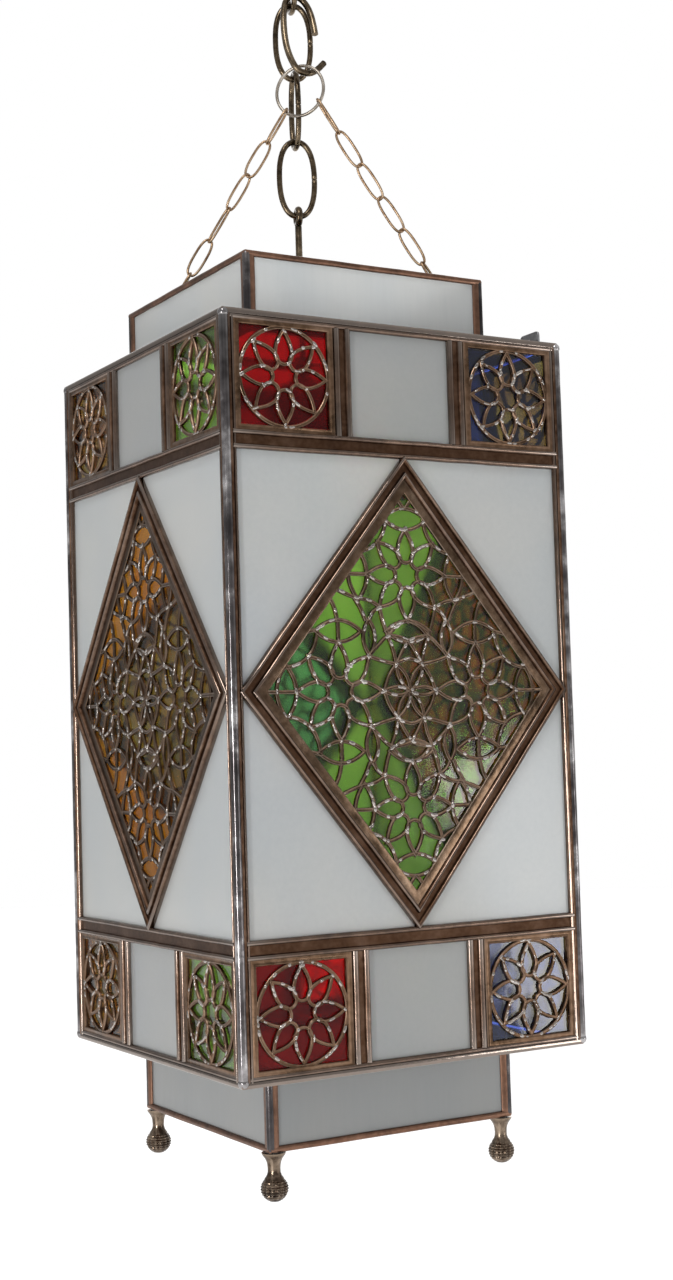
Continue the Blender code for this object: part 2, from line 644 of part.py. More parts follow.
def build_shoulders(lantern):
    """The flat plates between housing and collars; the upper one has the strap and the latch's lug."""
    square = rectangle(-HALF_WIDTH, HALF_WIDTH, -HALF_WIDTH, HALF_WIDTH)
    opening, strap = SHOULDER_OPENING, STRAP_HALF_WIDTH
    back_hole = rectangle(-opening, opening, strap, opening)
    front_hole = rectangle(-opening, opening, -opening, -strap)
    rod_hole = circle(ROD_RADIUS + 0.4 * MM, 12)
    top = plate([square, back_hole, front_hole, rod_hole], SHEET)
    top = moved(top, Matrix.Translation((0, 0, HALF_BODY - SHEET / 2)))
    outer = HALF_WIDTH - LUG_OUTER
    lug = box(
        (outer - LUG_SHEET, LATCH_Y - LUG_HALF_WIDTH, HALF_BODY - SHEET / 2),
        (outer, LATCH_Y + LUG_HALF_WIDTH, HALF_BODY + LATCH_HEIGHT + LUG_ABOVE_PIVOT),
    )
    hole = rod(RIVET_RADIUS + 0.4 * MM, -2 * LUG_SHEET, 2 * LUG_SHEET, 12)
    spot = Matrix.Translation((outer - LUG_SHEET / 2, LATCH_Y, HALF_BODY + LATCH_HEIGHT))
    top = combined(combined(top, [lug]), [moved(hole, spot @ x_axis())], "DIFFERENCE")
    place("top_shoulder", top, "copper", lantern)
    bottom = plate([square, rectangle(-opening, opening, -opening, opening)], SHEET)
    bottom = moved(bottom, Matrix.Translation((0, 0, -HALF_BODY + SHEET / 2)))
    place("bottom_shoulder", bottom, "copper", lantern)


def x_axis():
    """Turns a solid's Z axis to +X."""
    return Matrix.Rotation(math.radians(90), 4, "Y")


def collar_frame(low, high, rim_low, rim_high):
    """A square tube of sheet with a window in each side and a rim turned inwards between two levels."""
    outer, inner = HALF_COLLAR, HALF_COLLAR - SHEET
    side, edge = COLLAR_CORNER, COLLAR_EDGE
    tube = box((-outer, -outer, low), (outer, outer, high))
    bore = box((-inner, -inner, low - 1), (inner, inner, high + 1))
    window_x = box((-1, -outer + side, low + edge), (1, outer - side, high - edge))
    window_y = box((-outer + side, -1, low + edge), (outer - side, 1, high - edge))
    tube = combined(tube, [bore, window_x, window_y], "DIFFERENCE")
    root = inner + SHEET / 2  # the rim starts inside the tube's wall, so the two join
    lip = HALF_COLLAR - COLLAR_LIP
    rim = plate([rectangle(-root, root, -root, root), rectangle(-lip, lip, -lip, lip)], rim_high - rim_low)
    return combined(tube, [moved(rim, Matrix.Translation((0, 0, (rim_low + rim_high) / 2)))])


def staple(side):
    """A wire staple under the upper rim, for the end of a side chain."""
    middle = staple_middle(side)
    half = STAPLE_SPAN / 2
    root = side * (HALF_COLLAR - 1.5 * SHEET)
    rim = HALF_BODY + GAP + UPPER_COLLAR_HEIGHT - STAPLE_ROOT_DROP
    route = [(root, middle.y - half, rim), (middle.x, middle.y - half, middle.z)]
    route += [(middle.x, middle.y + half, middle.z), (root, middle.y + half, rim)]
    return wire(route, RING_WIRE, closed=False, sides=1)


def build_collars(lantern):
    inner = HALF_COLLAR - SHEET - GAP
    low = HALF_BODY + GAP
    high = low + UPPER_COLLAR_HEIGHT
    frame = combined(collar_frame(low, high, high - SHEET, high), [staple(-1), staple(1)])
    place("upper_collar_frame", frame, "collar_copper", lantern)
    glass_top = high - SHEET - GAP
    pane_inner = inner - GLASS
    outline = rectangle(-inner, inner, -inner, inner)
    hole = rectangle(-pane_inner, pane_inner, -pane_inner, pane_inner)
    glass = plate([outline, hole], glass_top - low - GAP)
    glass = moved(glass, Matrix.Translation((0, 0, (glass_top + low + GAP) / 2)))
    place("upper_collar_glass", glass, "frosted_glass", lantern)
    high = -HALF_BODY - GAP
    low = high - LOWER_COLLAR_HEIGHT
    place("lower_collar_frame", collar_frame(low, high, low, low + SHEET), "collar_copper", lantern)
    floor = low + SHEET + GAP
    tray = box((-inner, -inner, floor), (inner, inner, high - GAP))
    hollow = box((-pane_inner, -pane_inner, floor + GLASS), (pane_inner, pane_inner, high + 1))
    place("lower_collar_glass", combined(tray, [hollow], "DIFFERENCE"), "frosted_glass", lantern)


# Door furniture


def build_hinge(lantern):
    """The long hinge wire with its fixed knuckles, each on a leaf that reaches the back right post."""
    axis = Vector((HINGE_X, HINGE_Y, 0))
    to_post = Vector((POST_CENTRE, POST_CENTRE, 0)) - axis
    reach = to_post.length - POST_RADIUS - GAP
    turn = Matrix.Rotation(math.atan2(to_post.y, to_post.x), 4, "Z")
    end = KNUCKLE_HEIGHT + 1.5 * KNUCKLE_LENGTH + 2 * GAP
    pin = rod(HINGE_PIN_RADIUS, -end, end, 8)
    pieces = []
    for sign in (1, -1):
        for offset in (1, -1):
            z = sign * KNUCKLE_HEIGHT + offset * (KNUCKLE_LENGTH + 1.2 * GAP)
            half = KNUCKLE_LENGTH / 2
            knuckle = rod(KNUCKLE_RADIUS, z - half, z + half, 12)
            leaf_half = half - LEAF_SHORTER
            leaf = moved(box((0, -0.6 * MM, z - leaf_half), (reach, 0.6 * MM, z + leaf_half)), turn)
            pieces += [knuckle, leaf]
    hinge = combined(pin, pieces)
    place("door_hinge", hinge, "copper", lantern, Matrix.Translation(axis))


def build_latch(latch_pivot):
    """The turning tab: upright it frees the door, turned down it covers the door's top rail."""
    half, reach, corner = LATCH_WIDTH / 2, LATCH_REACH, LATCH_CORNER
    heel = LATCH_TAIL * 0.3
    right = [(half - corner, -LATCH_TAIL), (half, -heel), (half, reach - corner), (half - corner, reach)]
    outline = right + [(-x, y) for x, y in reversed(right)]
    tab = moved(plate([outline], LATCH_SHEET), face_matrix(90))
    tab = moved(tab, Matrix.Translation((LATCH_SHEET / 2 - 0.2 * MM, 0, 0)))
    head = RIVET_HEAD_RADIUS
    shank_end = RIVET_HEAD - RIVET_LENGTH
    rivet = [(0, -RIVET_LENGTH), (head, -RIVET_LENGTH), (head, shank_end)]
    rivet += [(RIVET_RADIUS, shank_end), (RIVET_RADIUS, LATCH_SHEET / 2), (head, LATCH_SHEET)]
    rivet += [(head / 2, LATCH_SHEET + RIVET_HEAD), (0, LATCH_SHEET + RIVET_HEAD)]
    tab = combined(tab, [moved(lathe(rivet, 12), x_axis())])
    spot = Matrix.Translation((HALF_WIDTH + 0.2 * MM, LATCH_Y, HALF_BODY + LATCH_HEIGHT))
    place("door_latch", tab, "steel", latch_pivot, spot)


def build():
    clear_scene()
    hanger = pivot("hanger", (0, 0, HANG_HEIGHT))
    top = pivot("top_link_swing", (0, 0, CEILING_LINK_Z - LINK_BEND), hanger)
    lantern = pivot("lantern_swing", (0, 0, TOP_LINK_Z - LINK_BEND), top)
    door = pivot("door_swing", (HINGE_X, HINGE_Y, 0), lantern)
    latch = pivot("latch_turn", (HALF_WIDTH, LATCH_Y, HALF_BODY + LATCH_HEIGHT), lantern)
    build_chain(hanger, top, lantern)
    build_rod(lantern)
    build_lamp(lantern)
    build_posts_and_feet(lantern)
    build_shoulders(lantern)
    build_collars(lantern)
    for name, face in FACES.items():
        build_face(name, face, door if name == "door" else lantern)
    build_hinge(lantern)
    build_latch(latch)


build()
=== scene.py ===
"""The looks of the hanging lantern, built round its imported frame. Lengths are in metres, +Z is up.

A face's own plane has x to the right as seen from outside, y up from the housing's centre, and its third
value is the distance out from the housing's vertical axis.
"""

import math
import random

import bmesh
import bpy
from mathutils import Matrix, Vector


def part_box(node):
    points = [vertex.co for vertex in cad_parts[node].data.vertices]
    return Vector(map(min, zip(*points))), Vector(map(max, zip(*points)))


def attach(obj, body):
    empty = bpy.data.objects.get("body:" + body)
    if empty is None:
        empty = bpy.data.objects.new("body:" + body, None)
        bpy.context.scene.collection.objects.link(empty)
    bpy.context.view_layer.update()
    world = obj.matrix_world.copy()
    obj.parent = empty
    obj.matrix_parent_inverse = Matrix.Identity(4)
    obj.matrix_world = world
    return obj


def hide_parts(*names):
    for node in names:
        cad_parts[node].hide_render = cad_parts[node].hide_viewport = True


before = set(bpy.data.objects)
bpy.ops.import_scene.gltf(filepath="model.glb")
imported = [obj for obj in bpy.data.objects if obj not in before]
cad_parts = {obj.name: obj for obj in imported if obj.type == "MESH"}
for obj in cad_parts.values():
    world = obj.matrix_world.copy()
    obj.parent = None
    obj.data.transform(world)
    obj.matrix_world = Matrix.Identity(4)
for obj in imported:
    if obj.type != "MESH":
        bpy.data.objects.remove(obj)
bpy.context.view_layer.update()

MM = 0.001

# Levels and widths that the frame gives
POST_LOW, POST_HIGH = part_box("corner_post_front_left")
CENTRE_Z = (POST_LOW.z + POST_HIGH.z) / 2
UPRIGHT = Matrix.Translation((0, 0, CENTRE_Z))  # moves heights from the housing's centre into the frame
HALF_WIDTH = -POST_LOW.x
PANEL_TOP = POST_HIGH.z - CENTRE_Z
GLASS_OUTER = -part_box("front_diamond_glass")[0].y
GLASS_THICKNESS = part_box("front_diamond_glass")[1].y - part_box("front_diamond_glass")[0].y
COLLAR_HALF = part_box("upper_collar_frame")[1].x
HALF_BODY = CENTRE_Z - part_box("bottom_shoulder")[0].z
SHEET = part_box("bottom_shoulder")[1].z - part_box("bottom_shoulder")[0].z

# Face layout, mirrored left to right and top to bottom
BASE = GLASS_OUTER + 0.05 * MM  # metal strips lie on the glass
BAND_RAIL_Y = 107.75 * MM
BAND_RAIL_WIDTH = 8.5 * MM
EDGE_RAIL_WIDTH = 2.4 * MM
MULLION_X = 30.0 * MM
MULLION_WIDTH = 8.4 * MM
STILE_X = 84.3 * MM
STILE_WIDTH = 1.8 * MM
TILE_X = 59.2 * MM
TILE_Y = 135.9 * MM
TILE_HALF = 21.5 * MM
TILE_MARGIN = 3.4 * MM
STRIP_WIDTH = 1.9 * MM  # of the rosettes and the lace
PETALS = 8

# Diamond panel
DIAMOND_X = 85.6 * MM
DIAMOND_Y = 105.0 * MM
BORDER_BEADS = 6.6 * MM  # width of the double bead round the diamond
BORDER_FLAT = 3.8 * MM  # and of the flat strip inside it
SIDE_ROSETTE_X = 36.0 * MM
SIDE_ROSETTE_RADIUS = 21.5 * MM
END_ROSETTE_Y = 51.5 * MM
END_ROSETTE_RADIUS = 20.4 * MM
FLOWER_RADIUS = 13.5 * MM
LENS_LENGTH = 23 * MM  # of the lenses on a rosette's rim
LENS_DEPTH = 9.6 * MM
LACE_ARCS = (  # single arcs of the lace in its upper right quarter, in mm
    ((42, 47), (34, 43.6), (27.6, 41.4), (20, 40.0), (14.6, 37.3)),
    ((27.6, 41.4), (24.4, 36.5), (21.8, 31)),
    ((0, 81), (2.8, 84.4), (6.6, 90)),
    ((36.2, 31.1), (38, 37.5), (42, 44)),
    ((20, 31.2), (18.2, 34.6), (14.6, 37.2)),
    ((14.6, 37.0), (12.9, 30.4), (10.6, 24.2)),
    ((10.6, 24.2), (5.6, 29.0), (0, 31.4)),
    ((0, 22.4), (4.7, 23.9), (10.6, 24.2), (15.6, 20.4), (20.8, 15.4)),
    ((0, 22.4), (3.2, 17.8), (6.7, 11.8)),
    ((10.6, 24.2), (8.2, 18.4), (6.7, 11.8)),
    ((0, 14.4), (3.4, 13.6), (6.7, 11.8), (10.9, 6.4), (13.5, 0)),
    ((6.7, 11.8), (13.9, 13.4), (20.8, 15.4)),
)
SMALL_LENS = Vector((20.3, 23.5)) * MM  # in the same quarter, with the solder at its foot
SMALL_LENS_FOOT = Vector((20.8, 15.7)) * MM

# Solder drops, in mm
DROP_LENGTH = (0.8, 1.9)
DROP_WIDTH = (0.5, 0.85)
DROP_HEIGHT = 0.5
DROPS_PER_MM = 0.055

COLLAR_SHEET = 1.6 * MM
NUT_RADIUS = 4.6 * MM
POST_INSET = 2.2 * MM  # of a corner bead's middle from the housing's sides
FLUTES = 14  # round the ball of a foot

# Chain, hook and ring, as in the frame
CHAIN_TURN = math.radians(-18)
LINK_WIDTH = 20.4 * MM
LINK_WIRE = 1.4 * MM
LINK_SEAM = 0.3 * MM  # half the length of wire that is thinned where a link's ends meet
SEAM_THINNING = 0.72
HOOK_WIRE = 1.6 * MM
HOOK_TOP = 346.95 * MM
HOOK_TURN = math.radians(-6)
HOOK_FORWARD = 3.6 * MM
HOOK_LEAN = 0.28
HOOK_HEADING = math.radians(30)
RING_TURN = math.radians(-52)
RING_RADIUS = 12.4 * MM
RING_WIRE = 0.8 * MM
RING_LIFT = 3.7 * MM
RING_SHIFT = -2.5 * MM
SIDE_LINKS = 6
SIDE_WIRE = 0.65 * MM
SIDE_LINK_WIDTH = 7.3 * MM
SIDE_END_GAP = 0.5 * MM
SIDE_OVERLAP = 0.05 * MM
SIDE_CHAINS = {
    "left": {"side": -1, "angle": -41, "y": 30 * MM, "twists": (-30, -20, -65, -90, -90, 70)},
    "right": {"side": 1, "angle": 53, "y": -42 * MM, "twists": (-26, -11, 29, -11, 29, 39)},
}
STAPLE_INSET = 9.0 * MM
STAPLE_SPAN = 9.0 * MM
STAPLE_DROP = 2.2 * MM

# Camera, from the housing's centre
CAMERA_PLACE = Vector((-427.1, -754.0, -27.3)) * MM
CAMERA_HEADING = math.radians(-30.36)
CAMERA_TILT = math.radians(-3.68)
CAMERA_ROLL = math.radians(-1.76)
CAMERA_LENS = 50.15
FLOOR_BELOW = 0.35  # from the feet down to the floor

FACES = {
    "front": {"turn": 0, "diamond": "green", "left": "red", "right": "blue"},
    "door": {"turn": 90, "diamond": "deep_amber", "left": "amber", "right": "green"},
    "back": {"turn": 180, "diamond": "teal", "left": "red", "right": "blue"},
    # the left face's lace takes a darker copy of tin: painted shade
    "left": {"turn": 270, "diamond": "amber", "left": "amber", "right": "green", "filigree": "tin_painted_shade"},
}
CORNERS = {"front_left": (-1, -1), "front_right": (1, -1), "back_left": (-1, 1), "back_right": (1, 1)}
TILES = {"upper_left": (-1, 1), "upper_right": (1, 1), "lower_left": (-1, -1), "lower_right": (1, -1)}

rng = random.Random(7)


# Materials

# Ranges of the Geometry node's Pointiness
GROOVES = (0.41, 0.49)
POLISHED = (0.505, 0.56)
RIDGES = (0.52, 0.60)


class Shading:
    """The nodes of a material or world, with short ways to add more of them and to feed its shader."""

    def __init__(self, owner, shader, coords, **constants):
        owner.use_nodes = True
        self.owner = owner
        self.tree = owner.node_tree
        self.shader = self.tree.nodes[shader]
        self.coords = self.node("TexCoord").outputs[coords]
        self.surface(**constants)

    def node(self, kind, **inputs):
        made = self.tree.nodes.new("ShaderNode" + kind)
        for socket, value in inputs.items():
            self.feed(value, made.inputs[socket.replace("_", " ")])
        return made

    def feed(self, value, socket):
        if isinstance(value, bpy.types.NodeSocket):
            self.tree.links.new(value, socket)
        else:
            socket.default_value = value

    def surface(self, **inputs):
        for socket, value in inputs.items():
            self.feed(value, self.shader.inputs[socket.replace("_", " ")])

    def stretched(self, scale):
        """Object coordinates scaled by axis, for grain that runs one way."""
        return self.node("Mapping", Vector=self.coords, Scale=scale).outputs["Vector"]

    def noise(self, scale, detail=3.0, vector=None, roughness=0.55):
        made = self.node("TexNoise", Vector=vector or self.coords, Scale=scale, Detail=detail)
        made.inputs["Roughness"].default_value = roughness
        return made.outputs["Fac"]

    def ramp(self, value, stops):
        made = self.node("ValToRGB", Fac=value)
        ramp = made.color_ramp
        while len(ramp.elements) < len(stops):
            ramp.elements.new(0.5)
        for element, (position, colour) in zip(ramp.elements, stops):
            element.position = position
            element.color = (*colour, 1)
        return made.outputs["Color"]

    def mixed(self, share, first, second, blend="MIX"):
        made = self.node("Mix")
        made.data_type = "RGBA"
        made.blend_type = blend
        for value, socket in ((share, 0), (first, 6), (second, 7)):
            self.feed(value, made.inputs[socket])
        return made.outputs[2]

    def ranged(self, value, low, high, source_low=0.3, source_high=0.7):
        made = self.node("MapRange", Value=value)
        made.inputs["From Min"].default_value = source_low
        made.inputs["From Max"].default_value = source_high
        made.inputs["To Min"].default_value = low
        made.inputs["To Max"].default_value = high
        return made.outputs["Result"]

    def bump(self, height, strength, distance):
        made = self.node("Bump", Height=height, Strength=strength, Distance=distance)
        self.surface(Normal=made.outputs["Normal"])


def material(name, **constants):
    return Shading(bpy.data.materials.new(name), "Principled BSDF", "Object", **constants)


def patina_metal(
    name, dark, middle, bright, roughness, speckled=0.3, dents=0.3, grain=420, worn=0.7, rubbed=None,
    dull=None,
):
    """Metal under a blotchy patina, worn on its ridges and dark in its grooves, a little lumpy.

    The ridges show the rubbed colour, or else the bright one. With a dull value, only they are polished.
    """
    made = material(name, Metallic=1.0)
    blotches = made.noise(75, detail=4.0)
    speckle = made.noise(grain, detail=2.0)
    colour = made.ramp(blotches, ((0.34, dark), (0.52, middle), (0.72, bright)))
    colour = made.mixed(speckled, colour, made.ramp(speckle, ((0.38, dark), (0.66, bright))))
    edge = made.node("NewGeometry").outputs["Pointiness"]
    colour = made.mixed(made.ranged(edge, 0.0, worn, *RIDGES), colour, (*(rubbed or bright), 1))
    colour = made.mixed(made.ranged(edge, worn, 0.0, *GROOVES), colour, (*dark, 1))
    if dull is None:
        polish = made.ranged(blotches, *roughness)
    else:
        polish = made.ranged(edge, dull, roughness[0], *POLISHED)
    made.surface(Base_Color=colour, Roughness=polish)
    made.bump(made.mixed(0.35, made.noise(120, detail=2.0), speckle), dents, 0.25 * MM)
    return made.owner


def clear_glass(name, colour, deep, transmission=1.0, roughness=(0.02, 0.09), ior=1.5):
    """Coloured glass, a little wavy, with the uneven depth of colour of hand-rolled sheet."""
    made = material(name, Transmission_Weight=transmission, IOR=ior)
    cloud = made.noise(38, detail=2.0)
    made.surface(Base_Color=made.ramp(cloud, ((0.34, deep), (0.62, colour))),
                 Roughness=made.ranged(made.noise(120), *roughness))
    made.bump(made.noise(55, detail=2.0), 0.16, 0.5 * MM)
    return made.owner


def frosted_glass(name, shade):
    """Sand-blasted sheet: pale grey, translucent, with faint upright streaks."""
    made = material(name, Transmission_Weight=0.42, IOR=1.45, Coat_Weight=0.5, Coat_Roughness=0.12)
    streaks = made.noise(30, detail=5.0, vector=made.stretched((14.0, 14.0, 1.4)))
    cloud = made.noise(16, detail=2.0)
    low, high, warm = (tuple(shade * value for value in colour) for colour in (
        (0.86, 0.90, 0.91), (1.0, 1.03, 1.03), (1.0, 0.99, 0.94)))
    colour = made.ramp(streaks, ((0.25, low), (0.75, high)))
    tint = made.ramp(cloud, ((0.38, low), (0.66, warm)))
    made.surface(Base_Color=made.mixed(0.5, colour, tint), Roughness=made.ranged(streaks, 0.40, 0.62))
    made.bump(made.noise(2600, detail=2.0), 0.12, 0.05 * MM)
    return made.owner


def black_plastic(name):
    made = material(name, Roughness=0.42)
    grain = made.noise(1500, detail=2.0)
    made.surface(Base_Color=made.ramp(grain, ((0.3, (0.018, 0.017, 0.016)), (0.7, (0.035, 0.034, 0.033)))))
    made.bump(grain, 0.2, 0.05 * MM)
    return made.owner


def opal_glass(name):
    made = material(name, Transmission_Weight=0.35, Subsurface_Weight=0.3, Subsurface_Scale=0.004)
    cloud = made.noise(60)
    made.surface(Base_Color=made.ramp(cloud, ((0.3, (0.86, 0.86, 0.83)), (0.7, (0.92, 0.92, 0.90)))),
                 Roughness=made.ranged(cloud, 0.18, 0.3))
    return made.owner


def pale_floor(name):
    made = material(name, Roughness=0.8, Emission_Color=(1, 1, 1, 1), Emission_Strength=0.37)
    cloud = made.noise(1.5)
    made.surface(Base_Color=made.ramp(cloud, ((0.3, (0.86, 0.86, 0.86)), (0.7, (0.90, 0.90, 0.90)))))
    return made.owner


METALS = {  # dark, middle and bright patina, roughness and what else patina_metal takes
    "copper": ((0.046, 0.022, 0.012), (0.100, 0.052, 0.029), (0.21, 0.132, 0.092), (0.10, 0.25),
               {"rubbed": (0.29, 0.250, 0.222), "dull": 0.44}),
    "tin": ((0.055, 0.034, 0.020), (0.120, 0.073, 0.045), (0.23, 0.160, 0.112), (0.14, 0.30),
            {"rubbed": (0.24, 0.198, 0.165)}),
    "tile_tin": ((0.062, 0.036, 0.020), (0.165, 0.096, 0.058), (0.27, 0.175, 0.118), (0.22, 0.38),
                 {"rubbed": (0.29, 0.205, 0.150)}),
    # the left face's lace: tin made darker as painted shade, and rougher
    "tin_painted_shade": ((0.040, 0.025, 0.015), (0.088, 0.054, 0.034), (0.16, 0.106, 0.074), (0.24, 0.40),
                  {"rubbed": (0.19, 0.140, 0.105)}),
    "collar_copper": ((0.048, 0.027, 0.019), (0.145, 0.073, 0.046), (0.27, 0.150, 0.102), (0.3, 0.5), {}),
    "solder": ((0.050, 0.045, 0.045), (0.120, 0.108, 0.110), (0.62, 0.60, 0.60), (0.10, 0.24),
               {"speckled": 0.1, "dents": 0.5, "grain": 160}),
    "solder_drops": ((0.100, 0.084, 0.072), (0.270, 0.235, 0.210), (0.56, 0.52, 0.49), (0.08, 0.2),
                     {"speckled": 0.1}),
    "dark_solder": ((0.020, 0.019, 0.020), (0.060, 0.054, 0.055), (0.24, 0.22, 0.22), (0.18, 0.32),
                    {"speckled": 0.1, "dents": 0.5, "grain": 160}),
    "antique_brass": ((0.034, 0.025, 0.016), (0.100, 0.072, 0.044), (0.27, 0.21, 0.14), (0.16, 0.30),
                      {"worn": 0}),
    "bronze": ((0.030, 0.020, 0.014), (0.090, 0.062, 0.043), (0.30, 0.23, 0.170), (0.16, 0.30),
               {"speckled": 0.4, "dents": 0.5}),
    "side_chain": ((0.22, 0.130, 0.075), (0.36, 0.240, 0.145), (0.56, 0.42, 0.29), (0.25, 0.4), {"worn": 0}),
    "ring_wire": ((0.16, 0.135, 0.110), (0.33, 0.285, 0.235), (0.52, 0.47, 0.41), (0.25, 0.4), {"worn": 0}),
    "steel": ((0.07, 0.07, 0.075), (0.16, 0.16, 0.17), (0.36, 0.36, 0.37), (0.28, 0.42), {}),
}
GLASSES = {  # colour, deeper colour and what else clear_glass takes
    "red": ((0.72, 0.004, 0.005), (0.56, 0.002, 0.006),
            {"transmission": 0.95, "roughness": (0.08, 0.18), "ior": 1.27}),
    "blue": ((0.050, 0.10, 0.46), (0.020, 0.03, 0.22), {}),
    "green": ((0.46, 0.98, 0.10), (0.38, 0.90, 0.07), {"roughness": (0.04, 0.12)}),
    "teal": ((0.040, 0.072, 0.200), (0.021, 0.041, 0.120), {}),
    "amber": ((1.0, 0.40, 0.022), (0.98, 0.30, 0.014), {"ior": 1.33}),
    "deep_amber": ((0.110, 0.012, 0.009), (0.052, 0.009, 0.006), {}),
}
# the darkest copy of the frosted sheet, for the lower collar, is painted shade
FROSTED_SHADES = {"frosted": 0.625, "grey_frosted": 0.43, "frosted_painted_shade": 0.385}

MATERIALS = {name: patina_metal(name, *values, **extra) for name, (*values, extra) in METALS.items()}
MATERIALS.update({name: frosted_glass(name, shade) for name, shade in FROSTED_SHADES.items()})
MATERIALS.update({name: clear_glass(name, *values, **extra) for name, (*values, extra) in GLASSES.items()})
MATERIALS["black_plastic"] = black_plastic("black_plastic")
MATERIALS["opal"] = opal_glass("opal")

SLOTS = {  # where a material's slot has another name than the material
    "tin": "copper", "tin_painted_shade": "copper", "tile_tin": "copper", "side_chain": "bronze",
    "ring_wire": "steel", "solder_drops": "solder", "dark_solder": "solder", "opal": "bulb_glass",
    "frosted": "frosted_glass", "grey_frosted": "frosted_glass", "frosted_painted_shade": "frosted_glass",
    "red": "red_glass", "blue": "blue_glass", "green": "green_glass", "teal": "teal_glass",
    "amber": "amber_glass", "deep_amber": "amber_glass",
}


# Mesh tools


def mm(*points):
    return [tuple(value * MM for value in point) for point in points]


def rotation(degrees, axis="Z"):
    return Matrix.Rotation(math.radians(degrees), 4, axis)


def angles(count):
    """Angles that divide a full turn."""
    return [2 * math.pi * step / count for step in range(count)]


def added(name, data, matrix=Matrix()):
    """A new object in the scene."""
    obj = bpy.data.objects.new(name, data)
    bpy.context.scene.collection.objects.link(obj)
    obj.matrix_world = matrix
    return obj


def finished(bm, sharp=38):
    bmesh.ops.recalc_face_normals(bm, faces=bm.faces)
    mesh = bpy.data.meshes.new("piece")
    bm.to_mesh(mesh)
    bm.free()
    mesh.shade_smooth()
    mesh.set_sharp_from_angle(angle=math.radians(sharp))
    return mesh


def merge(source, target, matrix):
    """Moves all of one bmesh into another."""
    source.transform(matrix)
    mesh = bpy.data.meshes.new("merged")
    source.to_mesh(mesh)
    source.free()
    target.from_mesh(mesh)


def show(name, mesh, finish, replaced=(), matrix=Matrix(), body="lantern"):
    """Adds a piece that rides with a body. Pieces share a mesh unless they have different finishes."""
    if mesh.materials and mesh.materials[0] != MATERIALS[finish]:
        mesh = mesh.copy()
        mesh.materials.clear()
    if not mesh.materials:
        mesh.materials.append(MATERIALS[finish])
    obj = added(name, mesh, matrix)
    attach(obj, body)
    SLOTS.get(finish, finish)
    if replaced:
        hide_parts(*replaced)


def face_matrix(turn):
    """From a face's own plane to the frame."""
    return UPRIGHT @ rotation(turn) @ rotation(90, "X")


def mitres(path, closed):
    """The sideways vector at each point of a flat path, as long as its mitre needs."""
    pairs = list(zip(path, path[1:] + path[:1]))
    normals = [Vector((a.y - b.y, b.x - a.x)).normalized() for a, b in pairs]
    for index in range(len(path)):
        meeting = [normals[index - 1], normals[index]]
        if not closed and index == 0:
            meeting = meeting[1:]
        elif not closed and index == len(path) - 1:
            meeting = meeting[:1]
        middle = sum(meeting, Vector((0, 0)))
        if middle.length < 0.2:
            yield meeting[0]
        else:
            middle.normalize()
            yield middle / max(0.4, middle.dot(meeting[0]))


def bridge(bm, rings, closed):
    """Quads between rings of vertices, and caps at the ends of an open run."""
    pairs = list(zip(rings, rings[1:] + rings[:1] if closed else rings[1:]))
    for first, second in pairs:
        for step in range(len(first)):
            following = (step + 1) % len(first)
            bm.faces.new((first[step], first[following], second[following], second[step]))
    if not closed:
        bm.faces.new(rings[0])
        bm.faces.new(reversed(rings[-1]))


def sweep(bm, path, profile, level=BASE, closed=False):
    """A strip along a flat path: the profile is a closed outline of (across, height) above the level."""
    path = [Vector(point) for point in path]
    rings = []
    for point, side in zip(path, mitres(path, closed)):
        rings.append([bm.verts.new((*(point + side * u), level + h)) for u, h in profile])
    bridge(bm, rings, closed)


def slab(bm, outline, low, high, chamfer=0.25 * MM):
    """A flat plate with chamfered edges."""
    outline = [Vector(point) for point in outline]
    inset = [point + side * chamfer for point, side in zip(outline, mitres(outline, True))]
    layers = ((inset, low), (outline, low + chamfer), (outline, high - chamfer), (inset, high))
    bridge(bm, [[bm.verts.new((*point, height)) for point in layer] for layer, height in layers], False)


def lathe(bm, profile, segments=32, centre=(0, 0, 0), flute_depth=None):
    """A solid of revolution from (radius, height) points; flute_depth(height) is a share of the radius."""
    place, rings = Vector(centre), []
    for radius, height in profile:
        depth = flute_depth(height) if flute_depth else 0
        ring = []
        for angle in angles(segments):
            reach = radius * (1 + depth * math.cos(FLUTES * angle))
            spot = Vector((reach * math.cos(angle), reach * math.sin(angle), height))
            ring.append(bm.verts.new(place + spot))
        rings.append(ring)
    bridge(bm, rings, False)


def wire_mesh(points, radius, closed=True, sides=6, seam=None):
    """A round wire through the points; a seam is a closed loop's index where its two ends meet."""
    curve = bpy.data.curves.new("wire", "CURVE")
    curve.dimensions = "3D"
    curve.bevel_depth = radius
    curve.bevel_resolution = sides
    curve.use_fill_caps = not closed
    spline = curve.splines.new("POLY")
    spline.points.add(len(points) - 1)
    for index, (point, position) in enumerate(zip(spline.points, points)):
        point.co = (*position, 1)
        if index == seam:
            point.radius = SEAM_THINNING
    spline.use_cyclic_u = closed
    obj = added("wire", curve)
    bpy.context.view_layer.update()
    mesh = bpy.data.meshes.new_from_object(obj.evaluated_get(bpy.context.evaluated_depsgraph_get()))
    bpy.data.objects.remove(obj, do_unlink=True)
    bm = bmesh.new()
    bm.from_mesh(mesh)
    bmesh.ops.remove_doubles(bm, verts=bm.verts, dist=0.001 * MM)
    mesh.materials.clear()
    return finished(bm, 60)


def mirrored(right):
    """The outline of a profile, from its right half."""
    return right + [(-u, h) for u, h in reversed(right)]


def rounded(width, height, steps=5):
    """Profile of a strip with a rounded top and short upright sides."""
    turns = (math.pi * step / steps for step in range(steps + 1))
    top = [(width / 2 * math.cos(a), height * (0.35 + 0.65 * math.sin(a))) for a in turns]
    return [(width / 2, 0)] + top + [(-width / 2, 0)]


